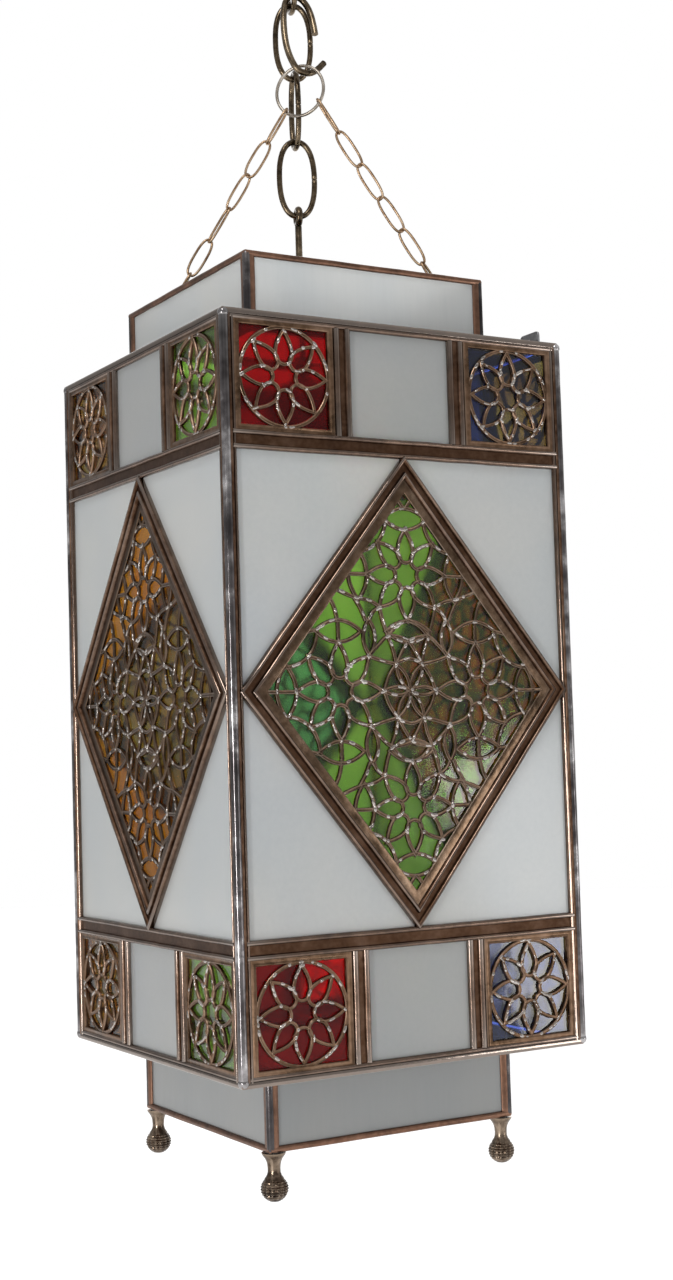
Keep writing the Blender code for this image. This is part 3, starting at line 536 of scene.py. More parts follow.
def stamped(width, height):
    """Profile of a stamped strip: two rounded edges with a shallow trough between them."""
    half = width / 2
    right = [(half, 0), (half, 0.50 * height), (0.86 * half, 0.86 * height), (0.64 * half, height),
             (0.40 * half, 0.93 * height), (0.20 * half, 0.84 * height)]
    return mirrored(right)


def beaded(width, bead, valley, height, steps=6):
    """Profile of a flat strip with a round bead along each edge."""
    points = [(width / 2, 0)]
    for centre in (width / 2 - bead, bead - width / 2):
        for step in range(steps + 1):
            turn = math.pi * step / steps
            points.append((centre + bead * math.cos(turn), valley + (height - valley) * math.sin(turn)))
    return points + [(-width / 2, 0)]


def rectangle(x0, y0, x1, y1):
    return [(x0, y0), (x1, y0), (x1, y1), (x0, y1)]


def square(half):
    return rectangle(-half, -half, half, half)


def circle(centre, radius, count=48):
    return [(centre[0] + radius * math.cos(a), centre[1] + radius * math.sin(a)) for a in angles(count)]


def petal(centre, turn, inner, outer, half_width, steps=12):
    """A teardrop round an axis from the centre: a round lobe near it and a sharp tip away from it."""
    side = []
    for step in range(steps + 1):
        s = step / steps
        side.append((inner + (outer - inner) * s * s, half_width * 2.6 * s * (1 - s * s)))
    outline = side + [(along, -width) for along, width in reversed(side[1:-1])]
    return [placed(point, centre, turn) for point in outline]


def lens(centre, turn, half_length, half_width, steps=14):
    """Two arcs that meet in points, with the long axis along the turn."""
    upper = []
    for step in range(steps + 1):
        t = -1 + 2 * step / steps
        upper.append((half_length * t, half_width * (1 - t * t)))
    lower = [(along, -width) for along, width in reversed(upper[1:-1])]
    return [placed(point, centre, turn) for point in upper + lower]


def placed(point, centre, turn):
    x, y = point
    cos, sin = math.cos(turn), math.sin(turn)
    return (centre[0] + x * cos - y * sin, centre[1] + x * sin + y * cos)


def rhombus(half_width, half_height):
    return [(half_width, 0), (0, half_height), (-half_width, 0), (0, -half_height)]


def crest(profile):
    """Just under the top of a strip, where its solder sits."""
    return BASE + 0.85 * max(height for _, height in profile)


def solder(bm, centre, level, turn=None):
    """A drop of solder: an uneven, flattened blob, along the turn or any way round."""
    stray = 0.6 if turn is None else 0.3
    spot = Vector((*centre, level)) + Vector((rng.uniform(-stray, stray), rng.uniform(-stray, stray), 0)) * MM
    about_z = Matrix.Rotation(rng.uniform(0, math.pi) if turn is None else turn, 4, "Z")
    size = (rng.uniform(*DROP_LENGTH), rng.uniform(*DROP_WIDTH), DROP_HEIGHT)
    matrix = Matrix.Translation(spot) @ about_z @ Matrix.Diagonal((*mm(size)[0], 1))
    rings = []
    for reach, lift in ((0.6, -0.8), (0.95, -0.3), (0.95, 0.3), (0.6, 0.8), (0.2, 0.98)):
        ring = circle((0, 0), reach, 9)
        rings.append([bm.verts.new(matrix @ Vector((*point, lift))) for point in ring])
    bridge(bm, rings, False)


# Faces


def frame_lattice():
    """Rails, mullions and stiles of a face: bead-edged strips."""
    bm = bmesh.new()
    rail = beaded(BAND_RAIL_WIDTH, bead=1.15 * MM, valley=0.95 * MM, height=2.3 * MM)
    mullion = beaded(MULLION_WIDTH, bead=1.45 * MM, valley=0.9 * MM, height=2.25 * MM)
    edge = rounded(EDGE_RAIL_WIDTH, 1.95 * MM)
    stile = rounded(STILE_WIDTH, 2.0 * MM)
    reach, overlap = STILE_X + STILE_WIDTH / 2, 0.3 * MM
    low, high = BAND_RAIL_Y + BAND_RAIL_WIDTH / 2 - overlap, PANEL_TOP - EDGE_RAIL_WIDTH + overlap
    for sign in (1, -1):
        edge_y, rail_y, stile_x = sign * (PANEL_TOP - EDGE_RAIL_WIDTH / 2), sign * BAND_RAIL_Y, sign * STILE_X
        sweep(bm, wavy((-reach, edge_y), (reach, edge_y), 0.06 * MM), edge)
        sweep(bm, wavy((-reach, rail_y), (reach, rail_y), 0.10 * MM), rail)
        sweep(bm, wavy((stile_x, -PANEL_TOP), (stile_x, PANEL_TOP), 0.05 * MM), stile)
        for band in (1, -1):
            ends = [(sign * MULLION_X, band * y) for y in (low, high)]
            sweep(bm, wavy(*ends, 0.08 * MM), mullion)
    return finished(bm)


def wavy(start, end, amount, pitch=12 * MM):
    """A nearly straight path whose points stray a little, as hand-laid strip does."""
    start, end = Vector(start), Vector(end)
    side = Vector((start.y - end.y, end.x - start.x)).normalized()
    count = max(2, round((end - start).length / pitch))
    path = [start]
    for step in range(1, count):
        path.append(start.lerp(end, step / count) + side * rng.uniform(-amount, amount))
    return path + [end]


def everywhere(point):
    return True


def smear(drops, path, level, keep=everywhere):
    """Solder in short streaks along a strip."""
    for before, spot, after in zip(path, path[1:], path[2:]):
        if rng.random() < DROPS_PER_MM * (after - before).length / MM and keep(spot):
            solder(drops, spot, level, math.atan2(after[1] - before[1], after[0] - before[0]))


def strand(bm, drops, outline, profile, keep=everywhere):
    """A closed strip with its solder, or those runs of it that keep() accepts."""
    smear(drops, [Vector(point) for point in outline], crest(profile), keep)
    dropped = [index for index, point in enumerate(outline) if not keep(point)]
    if not dropped:
        sweep(bm, outline, profile, closed=True)
        return
    run = []
    for point in outline[dropped[0]:] + outline[:dropped[0]] + [None]:
        if point is not None and keep(point):
            run.append(point)
            continue
        if len(run) > 1:
            sweep(bm, run, profile)
        run = []


def rosette(bm, drops, centre, radius, strip, keep=everywhere):
    """Eight petals round an open centre, with solder where they touch."""
    for turn in angles(PETALS):
        strand(bm, drops, petal(centre, turn, 0.27 * radius, radius, 0.20 * radius), strip, keep)
        for along, half_step in ((radius, 0), (0.56 * radius, math.pi / PETALS)):
            spot = placed((along, 0), centre, turn + half_step)
            if rng.random() < 0.6 and keep(spot):
                solder(drops, spot, crest(strip))


def tile_plates():
    """The four stamped tiles of a face: a margin, a ring and a rosette each. Also their solder."""
    bm, drops = bmesh.new(), bmesh.new()
    margin, half = stamped(TILE_MARGIN, 1.5 * MM), TILE_HALF + TILE_MARGIN / 2
    ring, petals = stamped(STRIP_WIDTH, 1.35 * MM), stamped(0.9 * STRIP_WIDTH, 1.45 * MM)
    for sx, sy in TILES.values():
        x, y = sx * TILE_X, sy * TILE_Y
        sweep(bm, rectangle(x - half, y - half, x + half, y + half), margin, closed=True)
        strand(bm, drops, circle((x, y), TILE_HALF + 0.3 * MM), ring)
        rosette(bm, drops, (x, y), TILE_HALF - 0.9 * MM, petals)
    return finished(bm, 30), finished(drops)


def diamond_share(inset):
    """The size of a rhombus whose sides lie inside the diamond's, as a share of the diamond's."""
    return 1 - inset / (math.sin(math.atan(DIAMOND_Y / DIAMOND_X)) * DIAMOND_X)


def round_diamond(bm, inset, profile):
    """A strip all round the diamond."""
    share = diamond_share(inset)
    corners = [Vector(corner) for corner in rhombus(DIAMOND_X * share, DIAMOND_Y * share)]
    path = []
    for start, end in zip(corners, corners[1:] + corners[:1]):
        path += wavy(start, end, 0.08 * MM)[:-1]
    sweep(bm, path, profile, closed=True)


def diamond_border():
    """The double bead round the diamond."""
    bm = bmesh.new()
    double_bead = beaded(BORDER_BEADS, bead=1.05 * MM, valley=1.5 * MM, height=3.1 * MM)
    round_diamond(bm, BORDER_BEADS / 2, double_bead)
    return finished(bm)


def flower(bm, drops, strip):
    """The six narrow petals in the middle of the lace, with solder on their tips."""
    for turn in angles(6):
        middle = placed((FLOWER_RADIUS / 2, 0), (0, 0), turn)
        strand(bm, drops, lens(middle, turn, FLOWER_RADIUS / 2, 0.135 * FLOWER_RADIUS), strip)
        solder(drops, placed((FLOWER_RADIUS, 0), (0, 0), turn), crest(strip))


def rimmed_rosette(bm, drops, strip, keep, centre, radius, outward):
    """A rosette with lenses on its rim and rays beyond them; outward is the way to the nearest corner."""
    rosette(bm, drops, centre, radius, strip, keep)
    at_end = outward % 180 != 0
    rays = (2, -2) if at_end else (0, 2, -2)
    for step in (0, 1, 2, -1, -2, 4) if at_end else (0, 1, 2, -1, -2):
        turn = math.radians(outward + 45 * step)
        middle = placed((radius + LENS_DEPTH / 2, 0), centre, turn)
        strand(bm, drops, lens(middle, turn + math.pi / 2, LENS_LENGTH / 2, LENS_DEPTH / 2), strip, keep)
        if step in rays:
            reach = LENS_DEPTH if step else 3 * LENS_DEPTH
            ray = [placed((radius + reach * part / 8, 0), centre, turn) for part in range(9)]
            sweep(bm, [point for point in ray if keep(point)], strip)


def filigree():
    """The flat strip inside the diamond's beads and the lace inside that. Also the lace's solder."""
    bm, drops = bmesh.new(), bmesh.new()
    half, height = BORDER_FLAT / 2 + 0.3 * MM, 1.6 * MM
    flat = [(half, 0), (half, 0.75 * height), (0.88 * half, 0.97 * height), (0.7 * half, height)]
    round_diamond(bm, BORDER_BEADS + BORDER_FLAT / 2, mirrored(flat))
    strip = stamped(STRIP_WIDTH, 1.15 * MM)
    share = diamond_share(BORDER_BEADS + BORDER_FLAT - 1.4 * MM)

    def keep(point):
        return abs(point[0]) / (DIAMOND_X * share) + abs(point[1]) / (DIAMOND_Y * share) < 1

    flower(bm, drops, strip)
    for sy in (1, -1):
        side_turn = 0 if sy > 0 else 180
        rimmed_rosette(bm, drops, strip, keep, (sy * SIDE_ROSETTE_X, 0), SIDE_ROSETTE_RADIUS, side_turn)
        rimmed_rosette(bm, drops, strip, keep, (0, sy * END_ROSETTE_Y), END_ROSETTE_RADIUS, 90 * sy)
        for sx in (1, -1):
            middle = (sx * SMALL_LENS.x, sy * SMALL_LENS.y)
            strand(bm, drops, lens(middle, math.pi / 2, 8 * MM, 3 * MM), strip)
            solder(drops, (sx * SMALL_LENS_FOOT.x, sy * SMALL_LENS_FOOT.y), crest(strip))
            for arc in LACE_ARCS:
                path = smooth([Vector((sx * x, sy * y, 0)) * MM for x, y in arc], 5)
                path = [point.xy for point in path if keep(point)]
                sweep(bm, path, strip)
                smear(drops, path, crest(strip), keep)
    return finished(bm, 30), finished(drops)


def face_pane(bm, corners, sx, sy):
    """A pane from the corners of its upper right copy, mirrored by the signs."""
    outline = [(sx * x, sy * y) for x, y in corners]
    slab(bm, outline if sx * sy > 0 else outline[::-1], GLASS_OUTER - GLASS_THICKNESS, GLASS_OUTER)


def triangle_panes():
    """The four frosted triangles round the diamond, which meet under its border."""
    bm = bmesh.new()
    seam, inner = 0.3 * MM, 5 * MM
    corners = [(STILE_X, seam), (STILE_X, BAND_RAIL_Y), (seam, BAND_RAIL_Y), (seam, DIAMOND_Y - inner),
               (DIAMOND_X - inner, seam)]
    for signs in TILES.values():
        face_pane(bm, corners, *signs)
    return finished(bm, 20)


def band_panes():
    """The frosted panes between the tiles of a face."""
    bm = bmesh.new()
    corners = rectangle(-MULLION_X, BAND_RAIL_Y + 0.3 * MM, MULLION_X, PANEL_TOP - 0.4 * MM)
    for sy in (1, -1):
        face_pane(bm, corners, 1, sy)
    return finished(bm, 20)


def paint(node, finish):
    """Gives a kept CAD node its finish."""
    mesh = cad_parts[node].data
    mesh.materials.clear()
    mesh.materials.append(MATERIALS[finish])


def build_faces():
    lattice, border, triangles, bands = frame_lattice(), diamond_border(), triangle_panes(), band_panes()
    tiles, tile_solder = tile_plates()
    lace, lace_solder = filigree()
    pieces = (  # name, mesh, finish and replaced node
        ("lattice", lattice, "copper", "frame"),
        ("tile_plates", tiles, "tile_tin", None),
        ("tile_solder", tile_solder, "solder_drops", None),
        ("diamond_border", border, "copper", "diamond_grille"),
        ("filigree", lace, "tin", None),
        ("filigree_solder", lace_solder, "solder_drops", None),
        ("triangle_panes", triangles, "frosted", "frosted_glass"),
        ("band_panes", bands, "grey_frosted", None),
    )
    for face_name, face in FACES.items():
        matrix, body = face_matrix(face["turn"]), "door" if face_name == "door" else "lantern"
        for name, mesh, finish, node in pieces:
            replaced = [f"{face_name}_{node}"] if node else []
            show(f"{face_name}_{name}", mesh, face.get(name, finish), replaced, matrix, body)
        paint(f"{face_name}_diamond_glass", face["diamond"])
        for spot in TILES:
            paint(f"{face_name}_glass_{spot}", face["left" if spot.endswith("left") else "right"])


# Housing


def lumpy_bead(bm, x, y, radius, low, high):
    """An upright bead of solder, uneven along its length."""
    profile = [(radius * 0.4, low), (radius * 0.8, low + 0.3 * radius)]
    steps = round((high - low) / (9 * MM))
    for step in range(steps + 1):
        height = low + 0.8 * radius + (high - low - 1.6 * radius) * step / steps
        profile.append((radius * rng.uniform(0.94, 1.0), height))
    profile += [(radius * 0.8, high - 0.3 * radius), (radius * 0.4, high)]
    lathe(bm, profile, 24, (x, y, 0))


def build_posts():
    """Corner seams: a thick bead of solder with a copper ridge along each face."""
    centre, reach = HALF_WIDTH - POST_INSET, HALF_BODY - 0.1 * MM
    blob_radius, ridge_radius = 2.4 * MM, 0.8 * MM
    ridge_inner, ridge_outer = 85.9 * MM, 88.8 * MM
    ridges = bmesh.new()
    for name, (sx, sy) in CORNERS.items():
        bm = bmesh.new()
        lumpy_bead(bm, sx * centre, sy * centre, 2.15 * MM, -reach, reach)
        for sign in (1, -1):
            blob = Matrix.Translation((sx * centre, sy * centre, sign * (HALF_BODY - blob_radius)))
            bmesh.ops.create_icosphere(bm, subdivisions=3, radius=blob_radius, matrix=blob)
        show(f"seam_{name}", finished(bm, 50), "solder", [f"corner_post_{name}"], UPRIGHT)
        for x, y in ((ridge_inner, ridge_outer), (ridge_outer, ridge_inner)):
            lumpy_bead(ridges, sx * x, sy * y, ridge_radius, -PANEL_TOP, PANEL_TOP)
    show("corner_ridges", finished(ridges, 50), "copper", matrix=UPRIGHT)


def flat_profile(width, thickness, chamfer=0.3 * MM):
    half = width / 2
    return mirrored(
        [(half - chamfer, 0), (half, chamfer), (half, thickness - chamfer), (half - chamfer, thickness)])


def strap_and_lug(bm, opening, low):
    """The strap across the top opening and the lug that holds the latch, on the top shoulder's plate."""
    x, y, skin = opening + 1 * MM, 7 * MM, 0.02 * MM
    slab(bm, rectangle(-x, -y, x, y), low + skin, low + SHEET - skin)
    lug = rectangle(HALF_WIDTH - 2.6 * MM, -69 * MM, HALF_WIDTH - 0.6 * MM, -61 * MM)
    slab(bm, lug, low + SHEET / 2, low + SHEET + 6.0 * MM, 0.35 * MM)


def build_shoulders():
    """The plates that close the housing round the collars, their edges rolled except along the door."""
    inner, outer = 59 * MM, HALF_WIDTH - 1.3 * MM
    edge = outer - 0.6 * MM
    rolled = [(edge, edge), (-edge, edge), (-edge, -edge), (edge, -edge)]
    roll = mm((0.6, 0), (1.1, 0.4), (1.3, 1.0), (1.3, 1.6), (1.1, 2.5), (-0.8, 2.5), (-0.8, 0))
    for name, low, sign in (("top_shoulder", HALF_BODY - SHEET, 1), ("bottom_shoulder", -HALF_BODY, -1)):
        bm = bmesh.new()
        sweep(bm, square((outer + inner) / 2), flat_profile(outer - inner, SHEET), low, closed=True)
        sweep(bm, rolled, [(-u, -sign * h) for u, h in roll], sign * HALF_BODY)
        if name == "top_shoulder":
            strap_and_lug(bm, inner, low)
        show(f"{name}_plate", finished(bm), "copper", [name], UPRIGHT)


def collar_side(metal, glass, low, high, top_edge, bottom_edge):
    """One side of a collar, in its face's plane: four strips and a pane behind them."""
    inner, end, corner = COLLAR_HALF - COLLAR_SHEET, COLLAR_HALF - 1.2 * MM, 5.0 * MM
    for y, width in ((high - top_edge / 2, top_edge), (low + bottom_edge / 2, bottom_edge)):
        sweep(metal, wavy((-end, y), (end, y), 0.08 * MM), rounded(width, COLLAR_SHEET - 0.1 * MM), inner)
    for sign in (1, -1):
        x = sign * (COLLAR_HALF - corner / 2 - 0.6 * MM)
        path = wavy((x, low + 0.4 * MM), (x, high - 0.4 * MM), 0.08 * MM)
        sweep(metal, path, rounded(corner, COLLAR_SHEET - 0.25 * MM), inner)
    half = inner - 0.4 * MM
    pane = rectangle(-half, low + 0.3 * MM, half, high - 1.9 * MM)
    slab(glass, pane, inner - GLASS_THICKNESS, inner - 0.05 * MM)


def build_collar(name, top_edge, bottom_edge, pane):
    """A collar: strips round four panes, an inner lip at its outer end, and solder along its corners."""
    low, high = (corner.z - CENTRE_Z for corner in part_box(f"{name}_frame"))
    metal, glass, seams = bmesh.new(), bmesh.new(), bmesh.new()
    for turn in (0, 90, 180, 270):
        side, panes = bmesh.new(), bmesh.new()
        collar_side(side, panes, low, high, top_edge, bottom_edge)
        matrix = rotation(turn) @ rotation(90, "X")
        merge(side, metal, matrix)
        merge(panes, glass, matrix)
    lip_level = high - 1.5 * MM if low > 0 else low + 0.1 * MM
    sweep(metal, square(COLLAR_HALF - 3.1 * MM), flat_profile(2.9 * MM, 1.4 * MM), lip_level, closed=True)
    if low < 0:
        floor = low + 1.9 * MM
        slab(glass, square(COLLAR_HALF - 4.0 * MM), floor, floor + GLASS_THICKNESS)
    radius = 1.9 * MM
    spot = COLLAR_HALF - radius
    for sx, sy in CORNERS.values():
        lumpy_bead(seams, sx * spot, sy * spot, radius, low + 0.1 * MM, high - 0.1 * MM)
    show(f"{name}_strips", finished(metal), "collar_copper", [f"{name}_frame"], UPRIGHT)
    show(f"{name}_panes", finished(glass, 20), pane, [f"{name}_glass"], UPRIGHT)
    show(f"{name}_seams", finished(seams, 50), "dark_solder", matrix=UPRIGHT)


def build_feet():
    """Cast feet: a flared cap, a slim neck and a ridged, fluted ball."""
    low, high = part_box("foot_front_left")
    height = high.z - low.z
    ball, radius = -0.745 * height, 5.75 * MM
    profile = mm((4.0, 0), (5.3, 0), (5.2, -0.7), (4.7, -1.4), (3.9, -2.5), (3.25, -3.8), (2.95, -5.2),
                 (2.8, -7.0), (2.85, -8.4), (3.3, -9.8), (4.2, -11.1))
    for step in range(17):
        turn = math.radians(40 - 98 * step / 16)
        ridge = 0.22 * MM if step % 2 else -0.18 * MM
        profile.append(((radius + ridge) * math.cos(turn), ball + radius * math.sin(turn)))
    profile.append((2.4 * MM, -height))

    def flute_depth(level):
        away = (level - ball) / radius
        return 0.05 * max(0.0, 1 - away * away)

    for name in CORNERS:
        low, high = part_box(f"foot_{name}")
        middle = (low + high) / 2
        bm = bmesh.new()
        lathe(bm, profile, 60, (middle.x, middle.y, high.z), flute_depth)
        show(f"ball_foot_{name}", finished(bm, 50), "bronze", [f"foot_{name}"])


# Chain and hanging parts


def oval(length, width, wire, count=64, squareness=2.35):
    """Middle line of a link in XZ: an ellipse with slightly flattened sides, starting at its right."""
    points = []
    for angle in angles(count):
        cos, sin = math.cos(angle), math.sin(angle)
        x, z = (math.copysign(abs(part) ** (2 / squareness), part) for part in (cos, sin))
        points.append(Vector(((width / 2 - wire) * x, 0, (length / 2 - wire) * z)))
    return points


def stadium(length, width, wire, count=16):
    """Middle line of a link in XZ with straight sides and round ends, starting at its right."""
    radius, reach = width / 2 - wire, (length - width) / 2
    points = []
    for centre, start in ((reach, 0), (-reach, math.pi)):
        points.append(Vector((radius * math.cos(start), 0, 0)))
        for step in range(count + 1):
            angle = start + math.pi * step / count
            points.append(Vector((radius * math.cos(angle), 0, centre + radius * math.sin(angle))))
    return points


def build_link(name, turn, body, seam_side, shape=oval):
    """A closed link, bent from wire, with a fine gap line where its ends meet halfway up one side."""
    low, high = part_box(name)
    path = shape(high.z - low.z, LINK_WIDTH, LINK_WIRE)
    middle = 0 if seam_side > 0 else len(path) // 2
    step = Vector((0, 0, seam_side * LINK_SEAM))
    path[middle:middle + 1] = [path[middle] - step, path[middle], path[middle] + step]
    mesh = wire_mesh(path, LINK_WIRE, seam=middle + 1)
    matrix = Matrix.Translation((0, 0, (low.z + high.z) / 2)) @ Matrix.Rotation(turn, 4, "Z")
    show(f"{name}_wire", mesh, "antique_brass", [name], matrix, body)


def hook_point(u, height):
    """A point of the hook's plane: u to the right, leaning forward as it goes down."""
    top = CENTRE_Z + HOOK_TOP
    sideways = Vector((-math.sin(CHAIN_TURN), math.cos(CHAIN_TURN), 0))
    forward = Vector((-math.sin(HOOK_HEADING), -math.cos(HOOK_HEADING), 0))
    offset = -sideways * HOOK_FORWARD + forward * HOOK_LEAN * (top - height)
    return offset + Vector((math.cos(HOOK_TURN), math.sin(HOOK_TURN), 0)) * u + Vector((0, 0, height))


def hook_route():
    outline = [
        (11.4, 329.2), (10.6, 334.5), (9.2, 340.5), (6.9, 345.4), (3.4, 348.7), (-0.6, 349.0),
        (-3.6, 346.2), (-5.0, 341.0), (-5.4, 334.0), (-5.0, 326.0), (-3.9, 319.0), (-1.8, 312.8),
        (1.2, 307.9), (4.9, 306.3), (8.7, 306.8), (12.2, 309.4), (15.6, 313.3),
    ]
    return [hook_point(u * MM, CENTRE_Z + height * MM) for u, height in outline]


def smooth(points, steps):
    """A Catmull-Rom curve through the points."""
    ends = [2 * points[0] - points[1]] + points + [2 * points[-1] - points[-2]]
    path = []
    for a, b, c, d in zip(ends, ends[1:], ends[2:], ends[3:]):
        for step in range(steps):
            t = step / steps
            path.append(((2 * b) + (c - a) * t + (2 * a - 5 * b + 4 * c - d) * t * t
                         + (3 * b - a - 3 * c + d) * t ** 3) / 2)
    return path + [points[-1]]


def ring_point(angle):
    """A point of the ring, at an angle from its lowest point."""
    bend = min(hook_route(), key=lambda point: point.z)
    sideways = Vector((math.cos(RING_TURN), math.sin(RING_TURN), 0))
    centre = bend + sideways * RING_SHIFT + Vector((0, 0, RING_LIFT - RING_RADIUS))
    return centre + sideways * RING_RADIUS * math.sin(angle) - Vector((0, 0, RING_RADIUS * math.cos(angle)))


def staple_middle(chain):
    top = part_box("upper_collar_frame")[1].z
    return Vector((chain["side"] * (COLLAR_HALF - STAPLE_INSET), chain["y"], top - STAPLE_DROP))


def build_side_chain(name, chain):
    """Six separate oval links, each at right angles to the last."""
    start, end = ring_point(math.radians(chain["angle"])), staple_middle(chain)
    direction = (end - start).normalized()
    pitch = ((end - start).length + 2 * (RING_WIRE + SIDE_END_GAP) + SIDE_OVERLAP) / SIDE_LINKS
    length = pitch + 4 * SIDE_WIRE - 0.30 * MM
    first = pitch / 2 - RING_WIRE - SIDE_END_GAP
    side = -direction.cross(Vector((0, 1, 0))).cross(direction).normalized()
    for index in range(SIDE_LINKS):
        normal = side.cross(direction)
        turned = Matrix((side, normal, -direction)).transposed().to_4x4()
        centre = start + direction * (first + pitch * index)
        twist = rotation(chain["twists"][index])
        mesh = wire_mesh(oval(length, SIDE_LINK_WIDTH, SIDE_WIRE, 32, 2.7), SIDE_WIRE, sides=4)
        replaced = [f"side_chain_{name}"] if index == 0 else []
        matrix = Matrix.Translation(centre) @ turned @ twist
        show(f"side_chain_{name}_link_{index + 1}", mesh, "side_chain", replaced, matrix)
        side = normal


def build_staple(name, chain):
    """A bent wire under the upper collar's rim."""
    middle = staple_middle(chain)
    half = STAPLE_SPAN / 2
    root_x = chain["side"] * (COLLAR_HALF - 2.4 * MM)
    rim = middle.z + 1.3 * MM
    route = [Vector((root_x, middle.y - half, rim)), Vector((middle.x, middle.y - half, middle.z)),
             Vector((middle.x, middle.y + half, middle.z)), Vector((root_x, middle.y + half, rim))]
    mesh = wire_mesh(route, RING_WIRE, closed=False, sides=4)
    show(f"staple_{name}", mesh, "steel")


def build_chain():
    across_turn = CHAIN_TURN + math.pi / 2
    build_link("ceiling_link", CHAIN_TURN, "hanger", 1, stadium)
    build_link("top_link", across_turn, "chain_top", -1, stadium)
    build_link("upper_link", CHAIN_TURN, "lantern", 1)
    build_link("vertical_link", across_turn, "lantern", -1)
    build_link("lower_link", CHAIN_TURN, "lantern", 1)
    hook = wire_mesh(smooth(hook_route(), 5), HOOK_WIRE, closed=False)
    show("hook_link_wire", hook, "antique_brass", ["hook_link"])
    ring = [ring_point(angle) for angle in angles(72)]
    show("chain_ring_wire", wire_mesh(ring, RING_WIRE, sides=4), "ring_wire", ["chain_ring"])
    for name, chain in SIDE_CHAINS.items():
        build_side_chain(name, chain)
        build_staple(name, chain)


def hexagon(bm, radius, low, high):
    """A nut with its corners turned off."""
    cut = 0.5 * MM
    lathe(bm, [(radius * 0.86, low), (radius, low + cut), (radius, high - cut), (radius * 0.86, high)], 6)


def build_rod():
    """The threaded rod with its welded eye, and the nuts on each side of the strap."""
    low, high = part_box("hanger_rod")
    radius, eye_radius = 1.7 * MM, 3.7 * MM
    eye_centre = high.z - radius - eye_radius
    turn = Matrix.Rotation(CHAIN_TURN, 4, "Z")
    eye = [turn @ Vector((0, x, z)) + Vector((0, 0, eye_centre)) for x, z in circle((0, 0), eye_radius, 40)]
    show("rod_eye", wire_mesh(eye, radius), "antique_brass")
    bm = bmesh.new()
    strap_top = CENTRE_Z + HALF_BODY
    thread_top, rod_top = strap_top + 12 * MM, eye_centre - eye_radius
    profile = [(radius * 0.7, low.z)]
    pitch, z = 0.8 * MM, low.z + 0.4 * MM
    while z < thread_top:
        profile += [(radius, z), (radius * 0.84, z + pitch / 2)]
        z += pitch
    profile += [(radius, thread_top), (radius, rod_top), (radius * 0.9, rod_top + 0.5 * MM)]
    lathe(bm, profile, 16)
    near, far = 0.3 * MM, 4.0 * MM
    hexagon(bm, NUT_RADIUS, strap_top + near, strap_top + far)
    hexagon(bm, NUT_RADIUS, strap_top - SHEET - far, strap_top - SHEET - near)
    show("threaded_rod", finished(bm, 30), "antique_brass", ["hanger_rod"])


def build_lamp():
    """The ribbed lamp holder with its bulb hanging from it."""
    low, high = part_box("lamp_holder")
    holder, bulb = bmesh.new(), bmesh.new()
    mouth, top = low.z, high.z
    rim = ((12.7, 18), (12.7, 0.4), (13.2, 0), (13.8, 0), (14, 0.6))
    profile = [(r * MM, mouth + rise * MM) for r, rise in rim]
    z = mouth + 2 * MM
    while z < top - 12 * MM:
        profile += [(r * MM, z + rise * MM) for r, rise in ((14, 0), (13.4, 0.5), (13.4, 1.1), (14, 1.6))]
        z += 3.2 * MM
    profile += [(r * MM, top - drop * MM) for r, drop in ((14, 9), (12.8, 5), (10.8, 2.6), (6, 0))]
    lathe(holder, profile, 40)
    show("lamp_socket", finished(holder, 40), "black_plastic", ["lamp_holder"])
    low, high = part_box("bulb")
    radius = (high.x - low.x) / 2
    centre = low.z + radius
    profile = [(6 * MM, high.z - 0.2 * MM), (11.8 * MM, high.z - 3 * MM), (11.8 * MM, mouth - 1 * MM)]
    profile.append((13 * MM, mouth - 7 * MM))
    for step in range(1, 20):
        turn = math.radians(48 - 137 * step / 19)
        profile.append((max(0.4 * MM, radius * math.cos(turn)), centre + radius * math.sin(turn)))
    lathe(bulb, profile, 48)
    show("bulb_envelope", finished(bulb, 50), "opal", ["bulb"])


# Door furniture


def knuckle(bm, middle, half):
    """A rolled tube round the hinge wire."""
    outer, bore, cut = 2.0 * MM, 1.15 * MM, 0.25 * MM
    low, high = middle - half, middle + half
    outline = [(bore, low), (outer - cut, low), (outer, low + cut)]
    outline += [(outer, high - cut), (outer - cut, high), (bore, high)]
    rings = []
    for radius, height in outline:
        rings.append([bm.verts.new((x, y, height)) for x, y in circle((0, 0), radius, 24)])
    bridge(bm, rings, True)


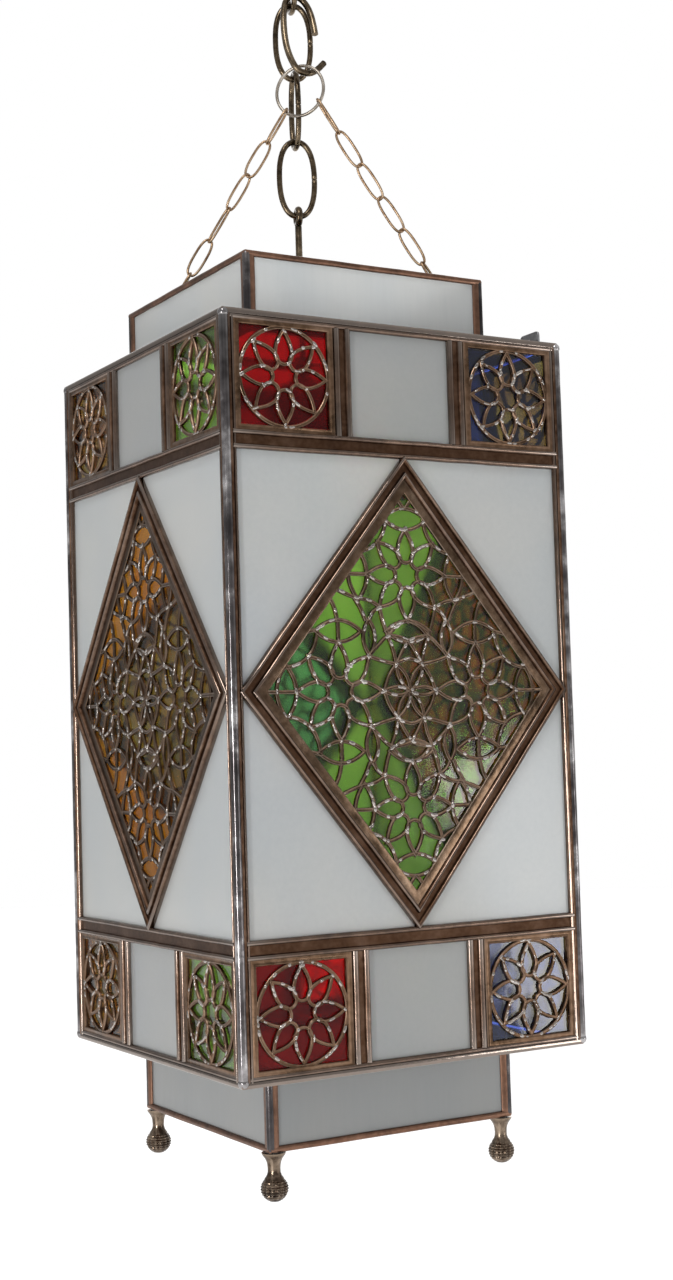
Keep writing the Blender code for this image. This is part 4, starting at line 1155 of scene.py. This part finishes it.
def build_hinge():
    """The hinge wire and, at two levels, a knuckle and a leaf of the door's between two fixed ones."""
    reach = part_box("door_hinge")[1].z - CENTRE_Z
    axis = Vector((91.6 * MM, 85.0 * MM, CENTRE_Z))
    post = Vector((HALF_WIDTH - POST_INSET, HALF_WIDTH - POST_INSET)) - axis.xy
    fixed, door = bmesh.new(), bmesh.new()
    pin = [(0.5 * MM, -reach), (0.8 * MM, 0.4 * MM - reach), (0.8 * MM, reach - 0.4 * MM), (0.5 * MM, reach)]
    lathe(fixed, pin, 16)
    to_post = Matrix.Rotation(math.atan2(post.y, post.x), 4, "Z")
    fixed_part = (fixed, rectangle(0.5 * MM, -0.6 * MM, post.length - 2.4 * MM, 0.6 * MM), to_post)
    door_part = (door, rectangle(-3.2 * MM, -4.6 * MM, -1.4 * MM, -0.3 * MM), Matrix())
    pitch, half, leaf_half = 10.36 * MM, 4.95 * MM, 4.2 * MM
    for middle in (110 * MM, -110 * MM):
        for offset, part in ((pitch, fixed_part), (0, door_part), (-pitch, fixed_part)):
            target, outline, heading = part
            knuckle(target, middle + offset, half)
            leaf = bmesh.new()
            slab(leaf, outline, -leaf_half, leaf_half)
            merge(leaf, target, Matrix.Translation((0, 0, middle + offset)) @ heading)
    matrix = Matrix.Translation(axis)
    show("hinge_wire", finished(fixed, 40), "copper", ["door_hinge"], matrix)
    show("door_knuckles", finished(door, 40), "copper", matrix=matrix, body="door")


def build_latch():
    """A sheet tab on a rivet, with rounded corners."""
    pivot = Vector((HALF_WIDTH + 0.2 * MM, -65 * MM, CENTRE_Z + HALF_BODY + 2.6 * MM))
    bm = bmesh.new()
    outline, radius = [], 2.0
    for x, y, start in ((5.3, -0.9, -90), (5.3, 5.4, 0), (-5.3, 5.4, 90), (-5.3, -0.9, 180)):
        for step in range(5):
            turn = math.radians(start + 22.5 * step)
            outline += mm((x + radius * math.cos(turn), y + radius * math.sin(turn)))
    slab(bm, outline, -0.15 * MM, 0.95 * MM, 0.2 * MM)
    rivet = mm((1.0, -4.1), (2.1, -4.0), (2.1, -3.4), (1.2, -3.2), (1.2, 0.9), (2.1, 0.95), (2.0, 1.4),
               (1.5, 1.8), (0.8, 2.0))
    lathe(bm, rivet, 24)
    matrix = Matrix.Translation(pivot) @ rotation(90) @ rotation(90, "X")
    show("latch_tab", finished(bm, 40), "steel", ["door_latch"], matrix, "latch")


# Studio


def build_camera():
    cos, sin = math.cos(CAMERA_TILT), math.sin(CAMERA_TILT)
    back = Vector((math.sin(CAMERA_HEADING) * cos, -math.cos(CAMERA_HEADING) * cos, sin))
    level = Vector((0, 0, 1)).cross(back).normalized()
    up = back.cross(level)
    right = level * math.cos(CAMERA_ROLL) + up * math.sin(CAMERA_ROLL)
    up = back.cross(right)
    data = bpy.data.cameras.new("camera")
    data.lens = CAMERA_LENS
    turned = Matrix((right, up, back)).transposed().to_4x4()
    matrix = UPRIGHT @ Matrix.Translation(CAMERA_PLACE) @ turned
    bpy.context.scene.camera = added("camera", data, matrix)


def add_light(name, place, size, power, lean=0.0):
    """A rectangle of light aimed at the lantern's middle, leaning by an angle in its own plane."""
    data = bpy.data.lights.new(name, "AREA")
    data.shape = "RECTANGLE"
    data.size, data.size_y = size
    data.energy = power
    lamp = added(name, data)
    lamp.location = UPRIGHT @ Vector(place)
    lamp.rotation_euler = (-Vector(place)).to_track_quat("-Z", "Y").to_euler()
    lamp.rotation_euler.rotate_axis("Z", lean)


def build_world():
    """A white room: even for the eye, with lighter and darker stretches of wall in reflections."""
    walls = (  # share of the way round from -x, and brightness
        (0.00, 0.50), (0.09, 0.34), (0.17, 0.55), (0.26, 0.40), (0.33, 0.50), (0.42, 0.85), (0.50, 0.38),
        (0.59, 0.75), (0.67, 3.50), (0.76, 0.55), (0.84, 0.34), (0.92, 0.70), (1.00, 0.50),
    )
    bpy.context.scene.world = bpy.data.worlds.new("studio")
    made = Shading(bpy.context.scene.world, "Background", "Generated")
    around = made.node("TexGradient", Vector=made.coords)
    around.gradient_type = "RADIAL"
    wall = made.ramp(around.outputs["Fac"], [(position, [level] * 3) for position, level in walls])
    height = made.ranged(made.node("SeparateXYZ", Vector=made.coords).outputs["Z"], 0.0, 1.0, 0.25, 1.0)
    room = made.mixed(height, wall, (0.72, 0.72, 0.72, 1))
    made.surface(Color=made.mixed(made.node("LightPath").outputs["Is Camera Ray"], room, (1, 1, 1, 1)))


def build_studio():
    build_camera()
    build_world()
    bpy.context.scene.view_settings.view_transform = "Standard"
    bm = bmesh.new()
    bmesh.ops.create_circle(bm, cap_ends=True, segments=64, radius=6.0)
    floor = added("floor", finished(bm))
    floor.location.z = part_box("foot_front_left")[0].z - FLOOR_BELOW
    floor.data.materials.append(pale_floor("pale_floor"))
    add_light("left_window", (-1.30, -0.76, -0.12), (0.12, 0.50), 7.5)
    add_light("right_window", (0.965, -1.272, -0.22), (0.17, 0.42), 1.5, math.radians(18))
    add_light("overhead", (-0.9, -0.9, 1.6), (0.5, 0.5), 11)


build_studio()
build_faces()
build_posts()
build_shoulders()
build_collar("upper_collar", 2.8 * MM, 3.4 * MM, "frosted")
# the lower collar's panes are the frosted sheet darkened as painted shade
build_collar("lower_collar", 3.0 * MM, 2.8 * MM, "frosted_painted_shade")
build_feet()
build_chain()
build_rod()
build_lamp()
build_hinge()
build_latch()
